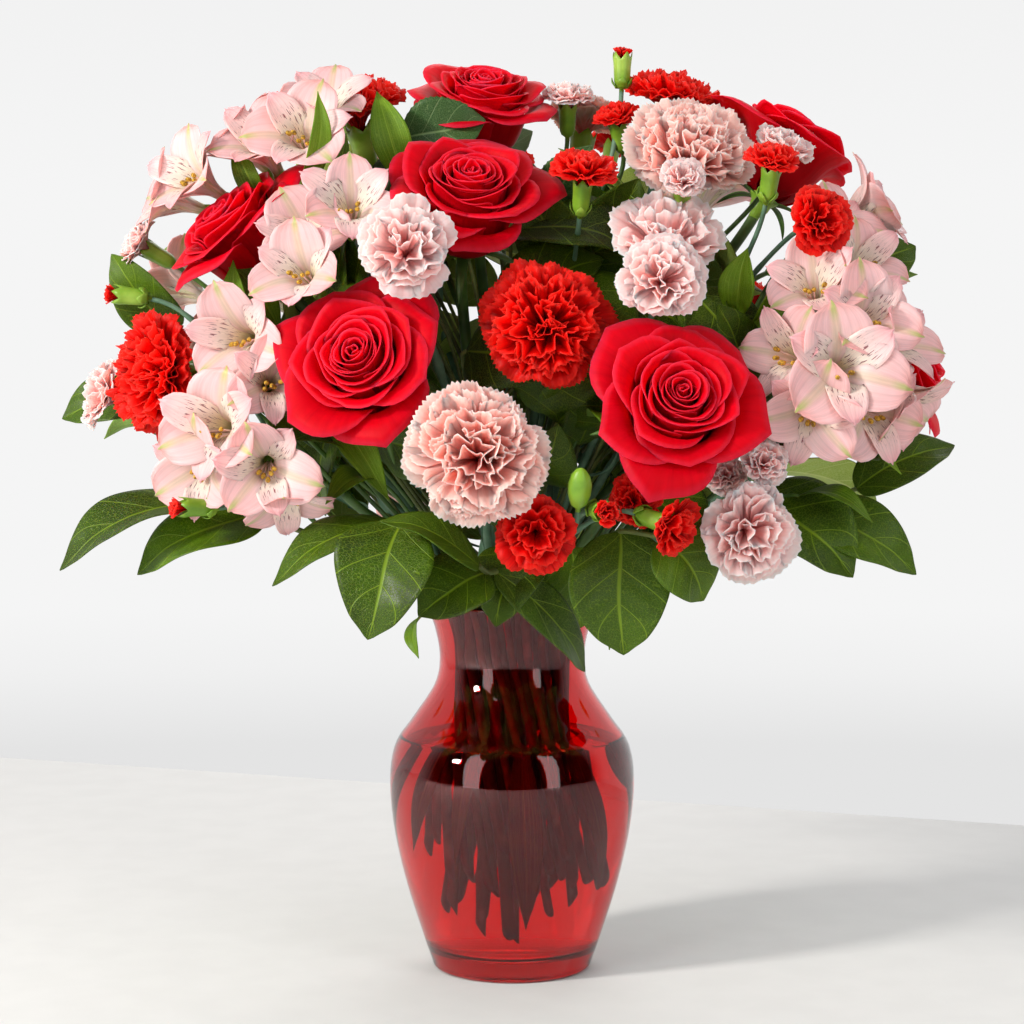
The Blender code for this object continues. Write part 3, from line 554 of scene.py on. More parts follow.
def tepals(radius, dice, inner, rows=15, cols=11):
    """Three tepals of a trumpet. The midline is summed from its angle to the axis, which opens from
    7 degrees at the foot to about 60, and 16 more at the tip; the blade is a narrow claw, widest
    past the middle, with a small point, and its edges curve up into a channel."""
    n = 3
    v = np.linspace(0, 1, rows)[None, :, None]
    u = np.linspace(-1, 1, cols)[None, None, :]
    vary = varied(dice, n)
    turn = (np.arange(n)[:, None, None] * 2 + (0.5 if inner else 1.5)) * 2 * math.pi / 6
    turn = turn + vary(0.08)
    wide_open = np.radians((58 if inner else 66) + 6 * vary(1.0))
    length = floret_height(radius) * (1.12 if inner else 1.14) * (1 + vary(0.03))
    angle = math.radians(7) + (wide_open - math.radians(7)) * smooth((v - 0.25) / 0.6)
    angle = angle + np.radians(16) * smooth((v - 0.8) / 0.2)
    step = length / (rows - 1)
    run = np.cumsum(np.sin(angle) * step, 1) - np.sin(angle[:, :1]) * step
    rise = np.cumsum(np.cos(angle) * step, 1) - np.cos(angle[:, :1]) * step
    shape = 0.2 + 0.8 * smooth((v - 0.12) / 0.5)
    shape = shape * np.sqrt(np.clip(1 - (np.clip(v - 0.66, 0, 1) / 0.345) ** 2.2, 0, 1)) + 0.02
    half = radius * (0.36 if inner else 0.62) * shape * (1 + vary(0.06))
    tip = 0.035 * length * np.exp(-((u / 0.3) ** 2)) * smooth((v - 0.85) / 0.15)
    cup = 0.34 * half * u**2 * (1 - 0.5 * v)
    phase = dice.uniform(0, ANY_PHASE, (n, 1, 1))
    edge = radius * 0.035 * np.abs(u) ** 2 * v**2 * np.sin(9 * v + phase + 2 * u)
    lift = cup + edge
    r = 2.2 + run + tip * np.sin(angle) - lift * np.cos(angle)
    z = 6 + rise + tip * np.cos(angle) + lift * np.sin(angle)
    x = r * np.cos(turn) - half * u * np.sin(turn)
    y = r * np.sin(turn) + half * u * np.cos(turn)
    return np.stack([x, y, z], -1), dice.uniform(0, 1, n)


def stamens(radius, dice):
    """Filaments that bow gently out of the trumpet, each ending in an oval anther."""
    parts = []
    for i in range(5):
        turn = -math.pi / 2 + (i - 2) * 0.55 + dice.normal(0, 0.1)
        out = np.array([math.cos(turn), math.sin(turn), 0])
        spread = out * radius * dice.uniform(0.16, 0.34)
        top = spread + (0, 0, floret_height(radius) * dice.uniform(0.72, 0.9))
        route = bezier(out * 1.0 + (0, 0, 6), out * 1.5 + (0, 0, 20), top - (0, 0, 6), top, 9)
        parts.append((tube(route, 0.42, 5), 2))
        heading = unit(top - route[-3] + out * 2)
        size = np.array([-2.0, -1.4, -0.5, 0.5, 1.4, 2.0])
        parts.append((tube(top + heading * size[:, None], [0.3, 1.0, 1.25, 1.25, 1.0, 0.3], 7), 3))
    return parts


def leaf(base, tip, width, upper, kind, dice, cells=None):
    """A blade from base to tip. Its half-width is a power of sin(pi v^fall), drawn to a point; it
    folds up along the midrib, arches as sin(pi v), and swells between its side veins."""
    shape = LEAF_SHAPES[kind]
    rows, cols = cells or shape["cells"]
    base, tip = np.array(base, float), np.array(tip, float)
    along = tip - base
    length = np.linalg.norm(along)
    side = unit(np.cross(along, upper))
    normal = unit(np.cross(side, along))
    v = np.linspace(0, 1, rows)[:, None]
    u = np.linspace(-1, 1, cols)[None, :]
    half = shape["wide"] * width / 2 * np.sin(math.pi * v ** shape["fall"]) ** shape["power"]
    half = half * (1 - 0.35 * smooth((v - 0.86) / 0.14)) + 0.9 * (1 - v) ** 3 + 0.12
    bow = np.sin(math.pi * v)
    arch = shape["arch"] + dice.normal(0, 0.012)
    fold = shape["fold"] + dice.normal(0, 0.02)
    lift = arch * length * bow + fold * width * np.abs(u) ** 1.2 * bow
    droop = -0.05 * length * smooth((v - 0.7) / 0.3)
    swell = 0.018 * width * np.abs(np.sin(math.pi * shape["veins"] * (v - 0.3 * np.abs(u)))) * bow
    swell = swell * np.sin(math.pi * np.clip(np.abs(u), 0, 1)) ** 0.5
    phase = dice.uniform(0, ANY_PHASE, 2)
    edge = 0.05 * width * np.abs(u) ** 2.5 * bow * np.sin(7 * v + phase[0] + 1.5 * np.sign(u))
    bend = 0.06 * width * np.sin(2.5 * v + phase[1]) * bow
    saw = (np.arange(rows) % 3 == 0)[:, None] * (np.abs(u) > 0.99)
    reach = u * half * (1 + shape["saw"] * saw)
    shift = shape["sweep"] * length * np.abs(u) * bow
    points = base + along * v[..., None] + side * (reach + bend)[..., None]
    points = points + normal * (lift + droop + swell + edge)[..., None]
    return points + along / length * (shift * np.ones_like(u))[..., None]


def calyx(radius, length, stem, bell=1.0):
    """A ribbed green cup that ends in five teeth, closed inside a little below its mouth."""
    rows = [
        (stem, -2, 0), (stem, 0, 0), (radius * 0.72, length * 0.1, 0), (radius * 0.9, length * 0.25, 0),
        (radius * 0.96, length * 0.5, 0), (radius, length * 0.8, 0),
        (radius * 1.08 * bell, length, 0.35), (radius * 1.14 * bell, length * 1.08, 1),
        (radius * 1.06 * bell, length * 1.07, 1), (radius * 0.86, length * 0.9, 0.2),
        (0, length * 0.88, 0),
    ]
    return lathe([(0, -2, 0)] + rows, 30, 0.03, 5, 4.2)


def bracts(radius, length):
    """Four short pointed scales pressed to the foot of a carnation's calyx."""
    n = 4
    turn = np.arange(n)[:, None, None] * math.pi / 2 + np.array([0.1, 0, 0.2, -0.1])[:, None, None]
    v, u = np.linspace(0, 1, 7)[None, :, None], np.linspace(-1, 1, 7)[None, None, :]
    half = 0.75 * (1 - v**1.6) + 0.03
    r = radius * (0.62 + 0.45 * smooth(v * 1.6)) + 0.5
    z = length * 0.4 * v * np.ones_like(u)
    angle = turn + u * half
    return np.stack([r * np.cos(angle), r * np.sin(angle), z * np.ones_like(angle)], -1)


def sepals(radius):
    """Five narrow sepals that start at the rose's hip, run out under the bloom and curl down."""
    n = 5
    turn = np.arange(n)[:, None, None] * 2 * math.pi / n
    v, u = np.linspace(0, 1, 13)[None, :, None], np.linspace(-1, 1, 7)[None, None, :]
    angle = 1.25 + 1.1 * v
    length = radius * 0.75
    step = length / 12
    r = 4.5 + np.cumsum(np.sin(angle) * step, 1) + 0 * turn
    z = -1.0 + np.cumsum(np.cos(angle) * step, 1) + 0 * turn
    half = 3.4 * (1 - v) ** 0.7 + 0.1
    x = r * np.cos(turn) - half * u * np.sin(turn)
    y = r * np.sin(turn) + half * u * np.cos(turn)
    return np.stack([x, y, z - 0.8 * np.abs(u) + 0 * x], -1)


# ---------------------------------------------------------------- the spiral of stems

def fan(across, height):
    """Where the stem that crosses the neck at `across` is lower down: its slot, turned and widened."""
    share = (NECK_HEIGHT - height) / FAN_DEPTH
    moved = across * (1 + share * (FAN_OUT * complex(math.cos(FAN_TURN), math.sin(FAN_TURN)) - 1))
    return np.array([moved.real, moved.imag, height])


def neck_slots(tops):
    """A slot in the neck for each stem: upright stems inside, and each ring in order of bearing."""
    gather = Vector((0, 0, 150))
    lean = {n: (Vector(top) - gather).angle(Vector((0, 0, 1))) for n, top in tops.items()}
    waiting = sorted(tops, key=lean.get)
    slots = {}
    for radius, count in NECK_RINGS:
        angles = [WATERING_SLOT + 2 * math.pi * i / count for i in range(count)]
        if radius == NECK_RINGS[-1][0]:
            angles = angles[1:]
        ring, waiting = waiting[: len(angles)], waiting[len(angles) :]
        bearing = {n: math.atan2(tops[n][1], tops[n][0]) for n in ring}
        ring.sort(key=bearing.get)
        angles.sort(key=lambda a: math.atan2(math.sin(a), math.cos(a)))

        def misfit(shift):
            pairs = zip(ring, angles[shift:] + angles[:shift])
            return sum(1 - math.cos(bearing[n] - angle) for n, angle in pairs)

        shift = min(range(len(angles)), key=misfit)
        for n, angle in zip(ring, angles[shift:] + angles[:shift]):
            slots[n] = complex(radius * math.cos(angle), radius * math.sin(angle))
    return slots


def lower_stem(name):
    """The straight part in the vase: its cut end and where it crosses the neck."""
    cut = CUT_LOWEST + CUT_RISE * abs(SLOTS[name]) + CUT_STEPS[NUMBERS[name] % len(CUT_STEPS)]
    return fan(SLOTS[name], cut), fan(SLOTS[name], NECK_HEIGHT)


def stem_route(name, label, end, aim, count=34):
    """The straight foot in the vase, then a Bezier that arrives at `end` along `aim`."""
    cut_end, crossing = lower_stem(name)
    reach = np.linalg.norm(end - crossing)
    away = unit(crossing - cut_end)
    pull = crossing + (away + (0, 0, 1)) * 0.5 * max(reach * 0.42, LEAST_RISE)
    pull = pull + np.array(SWAYS.get(label, (0, 0, 0)))
    nod = end - np.asarray(aim) * min(reach * 0.3, NOD_LENGTH)
    straight = np.linspace(cut_end, crossing, 12)[:-1]
    return np.concatenate([straight, bezier(crossing, pull, nod, end, count)])


def floret_height(radius):
    """How far an alstroemeria floret stands above its foot."""
    return 18 + radius


def branch_route(fork, away, foot, aim, number):
    """A side branch: it starts below the fork, each one lower than the last, and ends at its foot."""
    start = fork - away * (2.0 + BRANCH_STEP * number)
    reach = np.linalg.norm(foot - start)
    out = (away + unit(foot - start)) / 2
    return bezier(start, start + out * reach * 0.35, foot - aim * reach * 0.3, foot, 18)


def knuckled(route, radius, spacing=58.0):
    """A stem's radii: even, with a swollen knuckle at each node along it."""
    length = np.concatenate([[0], np.cumsum(np.linalg.norm(np.diff(route, axis=0), axis=1))])
    near = np.abs(np.mod(length / spacing, 1) - 0.5) * spacing
    return radius * (1 + 0.35 * np.exp(-((near / 3.2) ** 2)))


# ---------------------------------------------------------------- materials

def linear(code):
    """A hex sRGB colour as linear red, green, blue and an alpha of 1."""
    parts = [int(code[i : i + 2], 16) / 255 for i in (1, 3, 5)]
    return (*(c / 12.92 if c <= 0.04045 else ((c + 0.055) / 1.055) ** 2.4 for c in parts), 1.0)


def add(tree, kind, inputs=None, **settings):
    """A node of this kind with its settings, its socket values, and its links from other nodes."""
    made = tree.nodes.new(kind)
    for key, value in settings.items():
        setattr(made, key, value)
    for socket, value in (inputs or {}).items():
        if isinstance(value, bpy.types.NodeSocket):
            tree.links.new(value, made.inputs[socket])
        else:
            made.inputs[socket].default_value = value
    return made


def blank(name, **values):
    """A material with a Principled shader whose sockets are set directly."""
    made = bpy.data.materials.new(name)
    made.use_nodes = True
    tree = made.node_tree
    shader = tree.nodes["Principled BSDF"]
    for socket, value in values.items():
        shader.inputs[socket.replace("_", " ")].default_value = value
    return made, tree, shader


def ramp(tree, factor, stops, interpolation="EASE"):
    """A Color Ramp through (place, colour) stops."""
    made = add(tree, "ShaderNodeValToRGB", {"Fac": factor})
    band = made.color_ramp
    band.interpolation = interpolation
    while len(band.elements) < len(stops):
        band.elements.new(0.5)
    for element, (place, colour) in zip(band.elements, stops):
        element.position = place
        element.color = linear(colour) if isinstance(colour, str) else (*(colour,) * 3, 1)
    return made.outputs["Color"]


def position(tree):
    """The place in space."""
    return add(tree, "ShaderNodeTexCoord").outputs["Object"]


def surface(tree):
    """Across and along the piece's own grid, the two together, and the place in space."""
    uv = add(tree, "ShaderNodeUVMap", uv_map="UVMap").outputs["UV"]
    axes = add(tree, "ShaderNodeSeparateXYZ", {"Vector": uv}).outputs
    return axes["X"], axes["Y"], uv, position(tree)


def petal_tone(tree):
    """The tone that the patch was made with, 0 dark to 1 light."""
    return add(tree, "ShaderNodeAttribute", attribute_name="tone").outputs["Fac"]


def stretched(tree, vector, scale):
    """The vector, scaled along each axis."""
    return add(tree, "ShaderNodeMapping", {"Vector": vector, "Scale": scale}).outputs[0]


def noise(tree, vector, scale, detail):
    """Cloudy noise; more detail adds finer clouds."""
    values = {"Vector": vector, "Scale": scale, "Detail": detail}
    return add(tree, "ShaderNodeTexNoise", values).outputs["Fac"]


def sums(tree, operation, *values):
    """One Math node."""
    return add(tree, "ShaderNodeMath", dict(enumerate(values)), operation=operation).outputs[0]


def between(tree, value, low, high, start=0.0, stop=1.0):
    """The value's run from start to stop, moved to the run from low to high."""
    return add(tree, "ShaderNodeMapRange", {
        "Value": value, "From Min": start, "From Max": stop, "To Min": low, "To Max": high}).outputs[0]


def scaled(tree, colour, by):
    """The colour made lighter or darker."""
    return add(tree, "ShaderNodeVectorMath", {0: colour, "Scale": by}, operation="SCALE").outputs[0]


def mixed(tree, share, under, over, **settings):
    """Two colours mixed; inputs 6 and 7 of the node are its colours, and output 2 its result."""
    values = {"Factor": share, 6: under, 7: over}
    return add(tree, "ShaderNodeMix", values, data_type="RGBA", **settings).outputs[2]


def from_midrib(tree, u):
    """How far across from the middle line, 0 to 0.5."""
    return sums(tree, "ABSOLUTE", sums(tree, "SUBTRACT", u, 0.5))


def relief(tree, shader, height, strength, distance, **settings):
    """A bump of this strength; distance is in metres."""
    values = {"Height": height, "Strength": strength, "Distance": distance}
    bump = add(tree, "ShaderNodeBump", values, **settings)
    tree.links.new(bump.outputs[0], shader.inputs["Normal"])


def dye(tree, shader, colour):
    """Gives the shader this colour."""
    tree.links.new(colour, shader.inputs["Base Color"])


def petal_cloth(name, stops, vein, sheen, roughness, blush, vein_depth, tone_depth, shine):
    """Petal skin: fine veins fan from the claw to the edge, each petal a little lighter or darker.
    The colour runs along the petal through the ramp of stops and is darkest at the claw: that dark
    end is painted shade for the heart of the bloom, where the petals shade each other.
    Living petals are a thin matt skin of domed cells, so they have a soft sheen and glow a little."""
    made, tree, shader = blank(
        name, Roughness=roughness, Sheen_Weight=sheen, Sheen_Roughness=0.45, Sheen_Tint=linear(blush),
        Subsurface_Weight=0.7, Subsurface_Scale=0.005, Subsurface_Radius=(1.0, 0.35, 0.3),
        Specular_IOR_Level=shine,
    )
    _, v, uv, place = surface(tree)
    veins = noise(tree, stretched(tree, uv, (vein, 2.2, 1)), 1.0, 4.0)
    shade = between(tree, veins, 1 - vein_depth, 1 + vein_depth * 0.5, 0.3, 0.7)
    lift = between(tree, petal_tone(tree), 1 - tone_depth, 1 + tone_depth * 0.5)
    spots = between(tree, noise(tree, place, 60.0, 3.0), 0.93, 1.05, 0.3, 0.7)
    light = sums(tree, "MULTIPLY", sums(tree, "MULTIPLY", shade, lift), spots)
    # painted shade: the ramp along v darkens the petal towards its claw, deep in the bloom
    dye(tree, shader, scaled(tree, ramp(tree, v, stops), light))
    relief(tree, shader, veins, 0.35, 0.0006)
    return made


def tepal_cloth(name, streaked):
    """Alstroemeria skin: pale pink silk, white towards the throat. An inner tepal has short dark
    maroon dashes and a yellow patch; an outer one has a green-tinged midrib and tip."""
    made, tree, shader = blank(
        name, Roughness=0.42, Specular_IOR_Level=0.35, Subsurface_Weight=0.4, Subsurface_Scale=0.003,
        Subsurface_Radius=(1.0, 0.5, 0.45),
    )
    u, v, uv, _ = surface(tree)
    if streaked:
        stops = [(0.0, "#C8C070"), (0.3, "#F8E6B8"), (0.55, "#FCE2D0"), (0.8, "#FAC8C4"), (1.0, "#F0A8AC")]
        dashes = noise(tree, stretched(tree, uv, (30, 9.0, 1)), 1.0, 1.0)
        sharp = ramp(tree, dashes, [(0.6, 0.0), (0.66, 0.9)])
        where = ramp(tree, v, [(0.3, 0.0), (0.42, 1.0), (0.74, 1.0), (0.86, 0.0)])
        mark = "#7A2A3C"
    else:
        stops = [(0.0, "#B8C070"), (0.22, "#FCDCCC"), (0.5, "#FCD0CA"), (0.85, "#F8BCBC"), (1.0, "#EAA4A0")]
        sharp = ramp(tree, from_midrib(tree, u), [(0.02, 1.0), (0.12, 0.0)])
        where = ramp(tree, v, [(0.0, 0.75), (0.35, 0.3), (0.8, 0.35), (0.97, 1.0)])
        mark = "#A9B06A"
    marked = mixed(tree, sums(tree, "MULTIPLY", sharp, where), ramp(tree, v, stops), linear(mark))
    veins = noise(tree, stretched(tree, uv, (26, 1.6, 1)), 1.0, 3.0)
    shade = between(tree, veins, 0.84, 1.05, 0.3, 0.7)
    lift = between(tree, petal_tone(tree), 0.9, 1.06)
    dye(tree, shader, scaled(tree, marked, sums(tree, "MULTIPLY", shade, lift)))
    relief(tree, shader, veins, 0.3, 0.0005)
    return made


def leaf_skin(name, blade, vein, roughness, side_veins, net, coat):
    """Leaf cuticle: a waxy green skin over a net of paler veins. Side veins leave the midrib at an
    angle, so they are lines of constant v - 0.3|u|; a fine net of cell edges lies between them."""
    made, tree, shader = blank(name, Roughness=roughness, Coat_Weight=coat, Coat_Roughness=0.3,
                               Specular_IOR_Level=0.25, Subsurface_Weight=0.06, Subsurface_Scale=0.001)
    u, v, uv, place = surface(tree)
    away = from_midrib(tree, u)
    rib = ramp(tree, away, [(0.008, 1.0), (0.03, 0.0)])
    if side_veins:
        beat = sums(tree, "MULTIPLY", sums(tree, "MULTIPLY_ADD", away, -0.6, v), float(side_veins))
        side = ramp(tree, sums(tree, "PINGPONG", beat, 1.0), [(0.0, 1.0), (0.07, 0.0)])
    else:
        fine = noise(tree, stretched(tree, uv, (34, 0.7, 1)), 1.0, 1.0)
        side = ramp(tree, fine, [(0.5, 0.0), (0.66, 0.8)])
    grid = stretched(tree, uv, (net, net * 1.9, 1))
    cells = add(tree, "ShaderNodeTexVoronoi", {"Vector": grid, "Scale": 1.0}, feature="DISTANCE_TO_EDGE")
    mesh = ramp(tree, cells.outputs["Distance"], [(0.0, 0.55), (0.09, 0.0)])
    pattern = sums(tree, "MAXIMUM", sums(tree, "MAXIMUM", rib, side), mesh)
    patchy = sums(tree, "MULTIPLY", sums(tree, "ADD", noise(tree, place, 42.0, 4.0), petal_tone(tree)), 0.5)
    green = ramp(tree, patchy, [(0.25, blade[0]), (0.5, blade[1]), (0.78, blade[2])])
    dye(tree, shader, mixed(tree, sums(tree, "MULTIPLY", pattern, 0.55), green, linear(vein)))
    relief(tree, shader, pattern, 0.5, 0.0005, invert=True)
    return made


def stem_skin(name, low, middle, high, roughness):
    """Stem epidermis: smooth green with faint lengthways fibres and a waxy bloom in patches."""
    made, tree, shader = blank(name, Roughness=roughness, Subsurface_Weight=0.05, Subsurface_Scale=0.001)
    _, _, uv, place = surface(tree)
    dye(tree, shader, ramp(tree, noise(tree, place, 55.0, 5.0), [(0.3, low), (0.5, middle), (0.7, high)]))
    relief(tree, shader, noise(tree, stretched(tree, uv, (30, 3, 1)), 1.0, 2.0), 0.3, 0.0004)
    return made


def pollen(name):
    """Anthers: powdery ochre with brown where the pollen has gone."""
    made, tree, shader = blank(name, Roughness=0.9)
    grains = noise(tree, position(tree), 900.0, 3.0)
    dye(tree, shader, ramp(tree, grains, [(0.35, "#7A5A22"), (0.55, "#C79A2E"), (0.75, "#E3C25A")]))
    relief(tree, shader, grains, 0.6, 0.0004)
    return made


def ruby_glass():
    """Soda-lime glass coloured through with ruby: clear, polished, darker where it is thicker.
    Blown into a mould, so its skin has a very slight long waviness."""
    made, tree, shader = blank("ruby_glass", Base_Color=(0.83, 0.66, 0.66, 1), Roughness=0.0, IOR=1.5,
                               Transmission_Weight=1.0)
    waves = noise(tree, stretched(tree, position(tree), (1, 1, 0.45)), 16.0, 1.0)
    relief(tree, shader, waves, 0.12, 0.002)
    tint = add(tree, "ShaderNodeVolumeAbsorption", {"Color": (0.992, 0.0, 0.02, 1), "Density": 1200.0})
    tree.links.new(tint.outputs[0], tree.nodes["Material Output"].inputs["Volume"])
    return made


def clear_water():
    """Still tap water: almost colourless, refracting less than the glass."""
    made, tree, shader = blank("clear_water", Base_Color=(1, 0.97, 0.97, 1), Roughness=0.0, IOR=1.33,
                               Transmission_Weight=1.0)
    relief(tree, shader, noise(tree, position(tree), 14.0, 1.0), 0.05, 0.002)
    return made


# Rose: the dark stop at the claw is painted shade for the heart and the gaps between petals, and the light
# stops at the rim are a painted highlight on the rolled-back lips.
ROSE_SKIN = petal_cloth(
    "rose_petal_velvet",
    [(0.0, "#700008"), (0.45, "#BC000C"), (0.8, "#DC0012"), (0.94, "#E60016"), (1.0, "#EE2038")],
    26, 0.02, 0.5, "#FF3040", 0.12, 0.16, 0.06)
# Red carnation: darker towards the claw as painted shade deep in the bloom.
RED_SKIN = petal_cloth(
    "red_carnation_petal", [(0.0, "#A00004"), (0.5, "#D80404"), (0.85, "#F00806"), (1.0, "#FA2018")],
    30, 0.02, 0.45, "#FF5040", 0.16, 0.2, 0.1)
# Pink carnation: the deep coral towards the claw is painted shade, warmed as light bounces between the petals
# deep in the bloom.
PINK_SKIN = petal_cloth(
    "pink_carnation_petal",
    [(0.0, "#FF3C34"), (0.35, "#FF7A70"), (0.7, "#FFA298"), (0.95, "#FFB6AC"), (1.0, "#FFCAC2")],
    30, 0.05, 0.6, "#FFD0C8", 0.08, 0.08, 0.2)
# Pale pink spray: the deep coral towards the claw is painted shade, warmed as light bounces between the
# petals deep in the bloom.
PALE_SKIN = petal_cloth(
    "pale_pink_spray_petal",
    [(0.0, "#FF5454"), (0.3, "#FF8E8C"), (0.65, "#FFB0AC"), (0.94, "#FFC2BE"), (1.0, "#FFD6D2")],
    30, 0.05, 0.6, "#FFE0E0", 0.06, 0.06, 0.2)
OUTER_TEPAL = tepal_cloth("alstroemeria_outer_tepal", False)
INNER_TEPAL = tepal_cloth("alstroemeria_inner_tepal", True)
SALAL_TOP = leaf_skin("salal_upper_skin", ("#243600", "#3A5600", "#587800"), "#88A424", 0.42, 7, 26, 0.06)
SALAL_UNDER = leaf_skin("salal_under_skin", ("#7E9638", "#98AE4C", "#AEC062"), "#CBD488", 0.6, 7, 26, 0.0)
LILY_TOP = leaf_skin(
    "alstroemeria_leaf_skin", ("#365400", "#567A02", "#7E9E1A"), "#94B038", 0.45, 0, 20, 0.04)
LILY_UNDER = leaf_skin(
    "alstroemeria_leaf_under", ("#52782A", "#6C9038", "#86A64C"), "#9AB660", 0.55, 0, 20, 0.0)
ROSE_LEAF_TOP = leaf_skin("rose_leaf_skin", ("#1E3A14", "#2E501E", "#42682C"), "#86A066", 0.5, 8, 30, 0.1)
ROSE_LEAF_UNDER = leaf_skin("rose_leaf_under", ("#5C7A50", "#6F8C60", "#829C72"), "#A0B48C", 0.6, 8, 30, 0.0)
ROSE_STEM = stem_skin("rose_stem_skin", "#2C4A18", "#3F6222", "#587A30", 0.45)
CARNATION_STEM = stem_skin("carnation_stem_bloom", "#41644A", "#5A7F64", "#7C9C80", 0.6)
CALYX_SKIN = stem_skin("calyx_skin", "#5E8A1C", "#7BA42A", "#9CBE48", 0.4)
WOODY_STEM = stem_skin("salal_stem_bark", "#3A3A1C", "#54602A", "#74823C", 0.6)
FILAMENT = stem_skin("filament_skin", "#E9BFC4", "#F2D3D0", "#F5E2D2", 0.5)
POLLEN = pollen("anther_pollen")
GLASS = ruby_glass()
WATER = clear_water()


# ---------------------------------------------------------------- building the bouquet

def dice_for(name):
    """Seeded chance, the same for the same piece each time."""
    return np.random.default_rng(sum((i + 1) * ord(c) for i, c in enumerate(name)))


def vase_walls():
    """The outer and inner wall, lip down; the inner one is the outer one moved in by the wall."""
    outside = through([(r, z) for z, r in VASE_OUTSIDE], 96)
    along = np.gradient(outside, axis=0)
    inward = unit(np.stack([along[:, 1], -along[:, 0]], 1))
    inside = outside + inward * WALL
    return outside, inside[inside[:, 1] > FLOOR + 7]


def arc(centre, radius, start, stop, count):
    """Points of an arc in the (radius, height) plane, angles in degrees from +radius."""
    a = np.radians(np.linspace(start, stop, count))
    return np.stack([centre[0] + radius * np.cos(a), centre[1] + radius * np.sin(a)], 1)


def make_vase():
    """A closed turned body: up the inside from the floor, over a rounded lip, down the outside,
    round the heel, and in under the foot to a shallow hollow."""
    outside, inside = vase_walls()
    middle = (outside[0] + inside[0]) / 2
    tilt = math.degrees(math.atan2(*(outside[0] - inside[0])[::-1]))
    lip = arc(middle, WALL / 2, tilt + 180, tilt, 13)[1:-1]
    corner = inside[-1]
    floor = bezier((0, FLOOR), (corner[0] - 14, FLOOR), (corner[0] - 1.5, FLOOR + 0.5), corner, 14)
    heel = bezier(outside[-1], outside[-1] - (1.2, 2.6), (44, 0), (FOOT_RADIUS - 1, 0), 8)[1:]
    punt = bezier((35, 0), (33, 1.6), (28, 2.4), (0, 2.6), 14)
    profile = np.concatenate([floor[:-1], inside[::-1], lip, outside, heel, punt])
    piece("glass_vase", [patch(lathe(profile, 128))], [GLASS], ["vase"], welded=True)


def make_water():
    """The water follows the inner wall a hair inside the glass, and creeps up it at the surface."""
    inside = vase_walls()[1][::-1]
    sides = inside[inside[:, 1] < WATER_LEVEL + 1.2]
    sides = sides + (0.12, 0)
    corner = sides[0]
    level = FLOOR - 0.1
    floor = bezier((0, level), (corner[0] - 14, level), (corner[0] - 1.5, FLOOR + 0.4), corner, 14)
    top = sides[-1]
    creep = bezier(top, top - (0.6, 0.9), (top[0] - 2.2, WATER_LEVEL), (top[0] - 5, WATER_LEVEL), 8)[1:]
    profile = np.concatenate([floor[:-1], sides, creep, [(0, WATER_LEVEL)]])
    piece("vase_water", [patch(lathe(profile, 96))], [WATER], ["water"], welded=True)


def make_rose(name, place, aim, radius):
    """One rose: its petals, its stem with the green hip, and its sepals."""
    dice = dice_for(name)
    facing = unit(aim)
    base = np.array(place) - facing * ROSE_DEPTH * radius
    petals, tone = rose_petals(radius, dice)
    spin = dice.uniform(0, ANY_PHASE)
    piece(name + "_petals", [patch(stand(petals, base, facing, spin), 0, tone)], [ROSE_SKIN],
          [name + "_bloom"], thickness=0.4)
    foot = base - facing * ROSE_HIP
    route = stem_route(name, name + "_stem", foot, facing)
    hip = lathe([(0, -2), (3.0, -2), (3.0, 0), (4.4, 1.5), (5.4, 4), (5.8, 7), (7.5, 9.2), (9, 10.5),
                 (7, 11), (0, 11)], 24)
    greens = [patch(tube(route, 3.0, 12, SLANT), 0), patch(stand(hip, foot, facing), 1)]
    piece(name + "_stalk", greens, [ROSE_STEM, CALYX_SKIN], [name + "_stem"], welded=True)
    piece(name + "_sepals", [patch(stand(sepals(radius), base + facing * 1.5, facing, spin))], [ROSE_STEM],
          [name + "_stem"], thickness=0.5)


def carnation_leaves(route, dice, spots):
    """Pairs of narrow channelled leaves that leave the stem's knuckles and curl away."""
    parts = []
    for spot in spots:
        at = route[spot]
        along = unit(route[spot + 1] - route[spot - 1])
        side = unit(np.cross(along, dice.normal(0, 1, 3)))
        for sign in (1, -1):
            out = side * sign
            length = dice.uniform(26, 38)
            tip = at + along * length * 0.75 + out * length * 0.55
            parts.append(leaf(at - along * 1.0, tip, 4.6, out + along * 0.2, "lily", dice))
    return parts


def make_carnation(name, place, aim, radius):
    """One standard carnation: its petals, its stem with the calyx, and its leaves and bracts."""
    dice = dice_for(name)
    facing = unit(aim)
    base = np.array(place) - facing * CARNATION_DEPTH * radius
    count = 50 if radius > 26 else 40
    pink = "pink" in name
    wide, crimp = (1.15, 0.72) if pink else (1.0, 1.0)
    petals, tone = carnation_petals(radius, dice, count, wide=wide, crimp=crimp)
    skin, slot = (PINK_SKIN, "carnation_pink") if pink else (RED_SKIN, "carnation_red")
    piece(name + "_petals", [patch(stand(petals, base, facing), 0, tone)], [skin],
          [name + "_bloom"], thickness=0.35)
    foot = base - facing * CALYX_LENGTH
    route = stem_route(name, name + "_stem", foot, facing)
    greens = [
        patch(tube(route, knuckled(route, 2.3), 12, SLANT), 0),
        patch(stand(calyx(CALYX_RADIUS, CALYX_LENGTH, 2.3), foot, facing), 1),
    ]
    piece(name + "_stalk", greens, [CARNATION_STEM, CALYX_SKIN], [name + "_stem"], welded=True)
    blades = [patch(b, 0) for b in carnation_leaves(route, dice, (22, 30))]
    blades.append(patch(stand(bracts(CALYX_RADIUS, CALYX_LENGTH), foot, facing), 1))
    skins = [CARNATION_STEM, CALYX_SKIN]
    piece(name + "_blades", blades, skins, [name + "_stem"], thickness=0.5)


